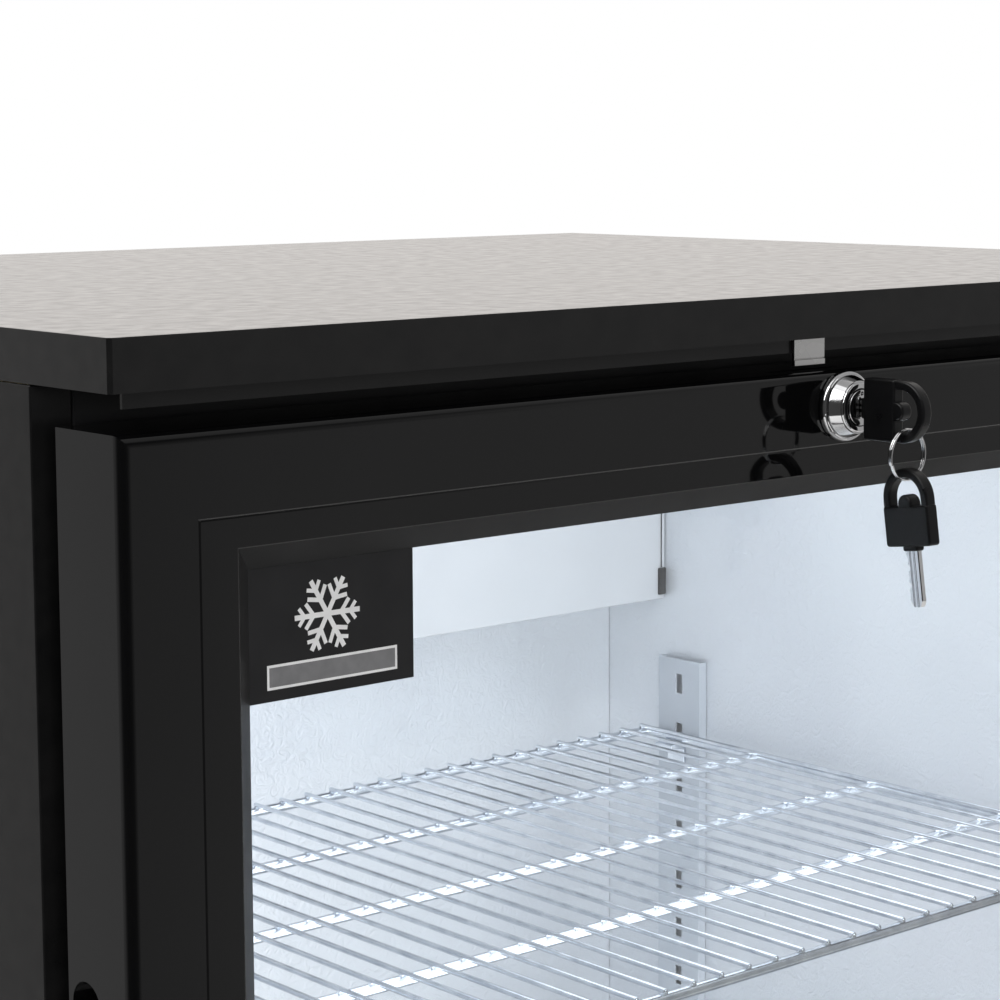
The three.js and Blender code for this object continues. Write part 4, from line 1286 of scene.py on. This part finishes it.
def makeBow(name, matrix, body, stands):
    # black moulded head: thick body, thinner looped arch and a round boss that stands into the loop
    s = bowSet
    half, arch = s["half"], -s["length"] + s["half"]
    bm = bmesh.new()
    ends = [(0, -half + 1.2), (0, half - 1.2)]
    side = arc((-1.2, half - 1.2), 1.2, 0, 90, 4)
    flank = [(-s["body"], half), (-s["body"], -half)]
    outline = [ends[1]] + side + flank + [(a, -b) for a, b in reversed(side)] + [ends[0]]
    addPrism(bm, outline[1:-1], -s["thick"] / 2, s["thick"] / 2, lambda a, b, c: Vector((c, a, b)))
    boss = arc((-s["body"] - 0.6, 0), s["boss"], 90, 270, 14)
    addPrism(bm, [(-s["body"] + 1, boss[0][1])] + boss + [(-s["body"] + 1, boss[-1][1])],
             -s["thick"] / 2, s["thick"] / 2, lambda a, b, c: Vector((c, a, b)))
    rows = []
    for x in (-s["arch"] / 2, s["arch"] / 2):
        out = [(-s["body"] + 0.5, half)] + arc((arch, 0), half, 90, 270, 24) + [(-s["body"] + 0.5, -half)]
        inn = [(-s["body"] + 0.5, s["hole"])] + arc((arch, 0), s["hole"], 90, 270, 24)
        inn.append((-s["body"] + 0.5, -s["hole"]))
        rows.append([[bm.verts.new(Vector((x, a, b))) for a, b in line] for line in (out, inn)])
    (outA, innA), (outB, innB) = rows
    last = len(outA) - 1
    for k in range(last):
        for low, high in ((outA, outB), (outB, innB), (innB, innA), (innA, outA)):
            bm.faces.new((low[k], low[k + 1], high[k + 1], high[k]))
    for k in (0, last):
        bm.faces.new((outA[k], outB[k], innB[k], innA[k]))
    addBlock(bm, (-1.8, 1.8), (-0.6, 1.7), (-3.7, 3.7))
    bow = roundEdges(linkMesh(name, bm, toFrame @ matrix), 0.8, 3)
    dress(bow, body, ["keyPlastic"], stands, 42)


def makeBlade(name, matrix, body):
    # milled blade: two grooves on each side and five cuts along one edge
    s = bladeShape
    section = [(-3.0, 0.7), (-2.7, 1.0), (-1.5, 1.0), (-1.3, 0.55), (-0.6, 0.55), (-0.4, 1.0), (0.5, 1.0),
               (0.7, 0.6), (1.2, 0.6), (1.4, 1.0)]
    stations = [step * 0.5 for step in range(-1, int(s["length"] * 2) - 1)] + [s["length"] - 0.4, s["length"]]
    rings = []
    bm = bmesh.new()
    for u in stations:
        deep = 0
        for place, depth in s["cuts"]:
            deep = max(deep, depth * max(0, 1 - max(0, abs(u - place) - 0.45) / 0.95))
        tip = min(1, (s["length"] - u) / 2.4)
        upper = (s["half"] - deep) - (1 - tip) * 1.6
        lower = -s["half"] + (1 - tip) * 1.2
        points = [(max(v, lower), x) for v, x in section] + [(upper - 0.25, 1.0), (upper, 0.75)]
        loop = [(v, x) for v, x in points] + [(v, -x) for v, x in reversed(points)]
        rings.append([bm.verts.new(Vector((x, u, v))) for v, x in loop])
    for low, high in zip(rings, rings[1:]):
        for k in range(len(low)):
            following = (k + 1) % len(low)
            bm.faces.new((low[k], low[following], high[following], high[k]))
    bm.faces.new(rings[0])
    bm.faces.new(rings[-1])
    addPiece(name, bm, body, ["chrome"], (), 25, toFrame @ matrix)


ringSet = {"radius": 8.7, "wire": 0.42, "turns": 2, "apart": 0.86, "y": -30.2, "z": 845.35}


def makeKeyRing():
    # split ring: one wire wound twice, its ends side by side
    s = ringSet
    path = []
    steps = 56 * s["turns"]
    for step in range(steps + 1):
        part = step / steps
        angle = 2 * math.pi * s["turns"] * part + math.radians(200)
        shift = s["apart"] * (min(max((part - 0.44) / 0.12, 0), 1) - 0.5)
        path.append((s["radius"] * math.cos(angle), s["y"] + shift, s["z"] + s["radius"] * math.sin(angle)))
    bm = bmesh.new()
    addTube(bm, path, s["wire"], 10)
    addPiece("key_ring_wound", bm, nodes["key_ring"]["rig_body"], ["chrome"], ["key_ring"], 60)


def makeKeys():
    plugged = Matrix.Translation((0, -12.1, lockSet["z"]))
    body = nodes["key"]["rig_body"]
    makeBow("key_bow", plugged, body, ["key"])
    makeBlade("key_blade", plugged, body)
    pivot = Matrix.Translation((0, ringSet["y"], ringSet["z"] - ringSet["radius"]))
    lean = Matrix.Rotation(math.radians(-8.2), 4, "X")
    drop = Matrix.Translation((0, 0, 0.95 + bowSet["half"] - bowSet["hole"] - bowSet["length"]))
    twist = Matrix.Rotation(math.radians(-6), 4, "Z")
    hung = pivot @ lean @ drop @ twist @ Matrix.Rotation(math.radians(-90), 4, "X")
    body = nodes["spare_key"]["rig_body"]
    makeBow("spare_key_bow", hung, body, ["spare_key"])
    makeBlade("spare_key_blade", hung, body)
    makeKeyRing()


def makeStrike():
    low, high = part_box("strike_plate")
    x0, x1 = low.x / mm, high.x / mm
    y0, y1 = (low.y - coverFront) / mm, (high.y - coverFront) / mm
    z0, z1 = low.z / mm, high.z / mm
    bend = z0 + 2.2
    outline = [(y1, z1), (y0 + 0.25, z1), (y0 + 0.25, bend + 0.2), (y0 + 0.5, bend), (y0, bend - 0.25),
               (y0, z0), (y1, z0)]
    bm = bmesh.new()
    addPrism(bm, outline, x0, x1, lambda a, b, c: Vector((c, a, b)))
    plate = roundEdges(linkMesh("strike_plate_folded", bm), 0.1, 2, 20)
    dress(plate, "cabinet", ["zinc"], ["strike_plate"], 40)


def makeFloor():
    bm = bmesh.new()
    bmesh.ops.create_circle(bm, cap_ends=True, radius=lightSet["floorRadius"], segments=96)
    mesh = bpy.data.meshes.new("floor")
    bm.to_mesh(mesh)
    bm.free()
    floor = bpy.data.objects.new("floor", mesh)
    scene.collection.objects.link(floor)
    material, tree, shader = startMaterial("paleFloor")
    tint = tintOf(tree, noiseOn(tree, 6, 4), (0.80, 0.80, 0.795), (0.83, 0.83, 0.825))
    tree.links.new(tint, shader.inputs["Base Color"])
    shader.inputs["Roughness"].default_value = 0.75
    mesh.materials.append(material)


makeCamera()
makeWorld()
makeLights()
makeFloor()
print("camera and light made")
makeCase()
makeFeet()
makeGrille()
print("case made")
makeLiner()
makeEvaporator()
makeWheel("evaporator_fan")
makeWheel("condenser_fan")
makeLedStrip()
makeShelf("shelf_upper")
makeShelf("shelf_lower")
print("inside made")
makeCoolingUnit()
print("cooling unit made")
makeDoorFrame()
makeGlazing()
makeGasket()
makeHinges()
makeLabel()
makeLock()
makeKeys()
makeStrike()
print("door and lock made")
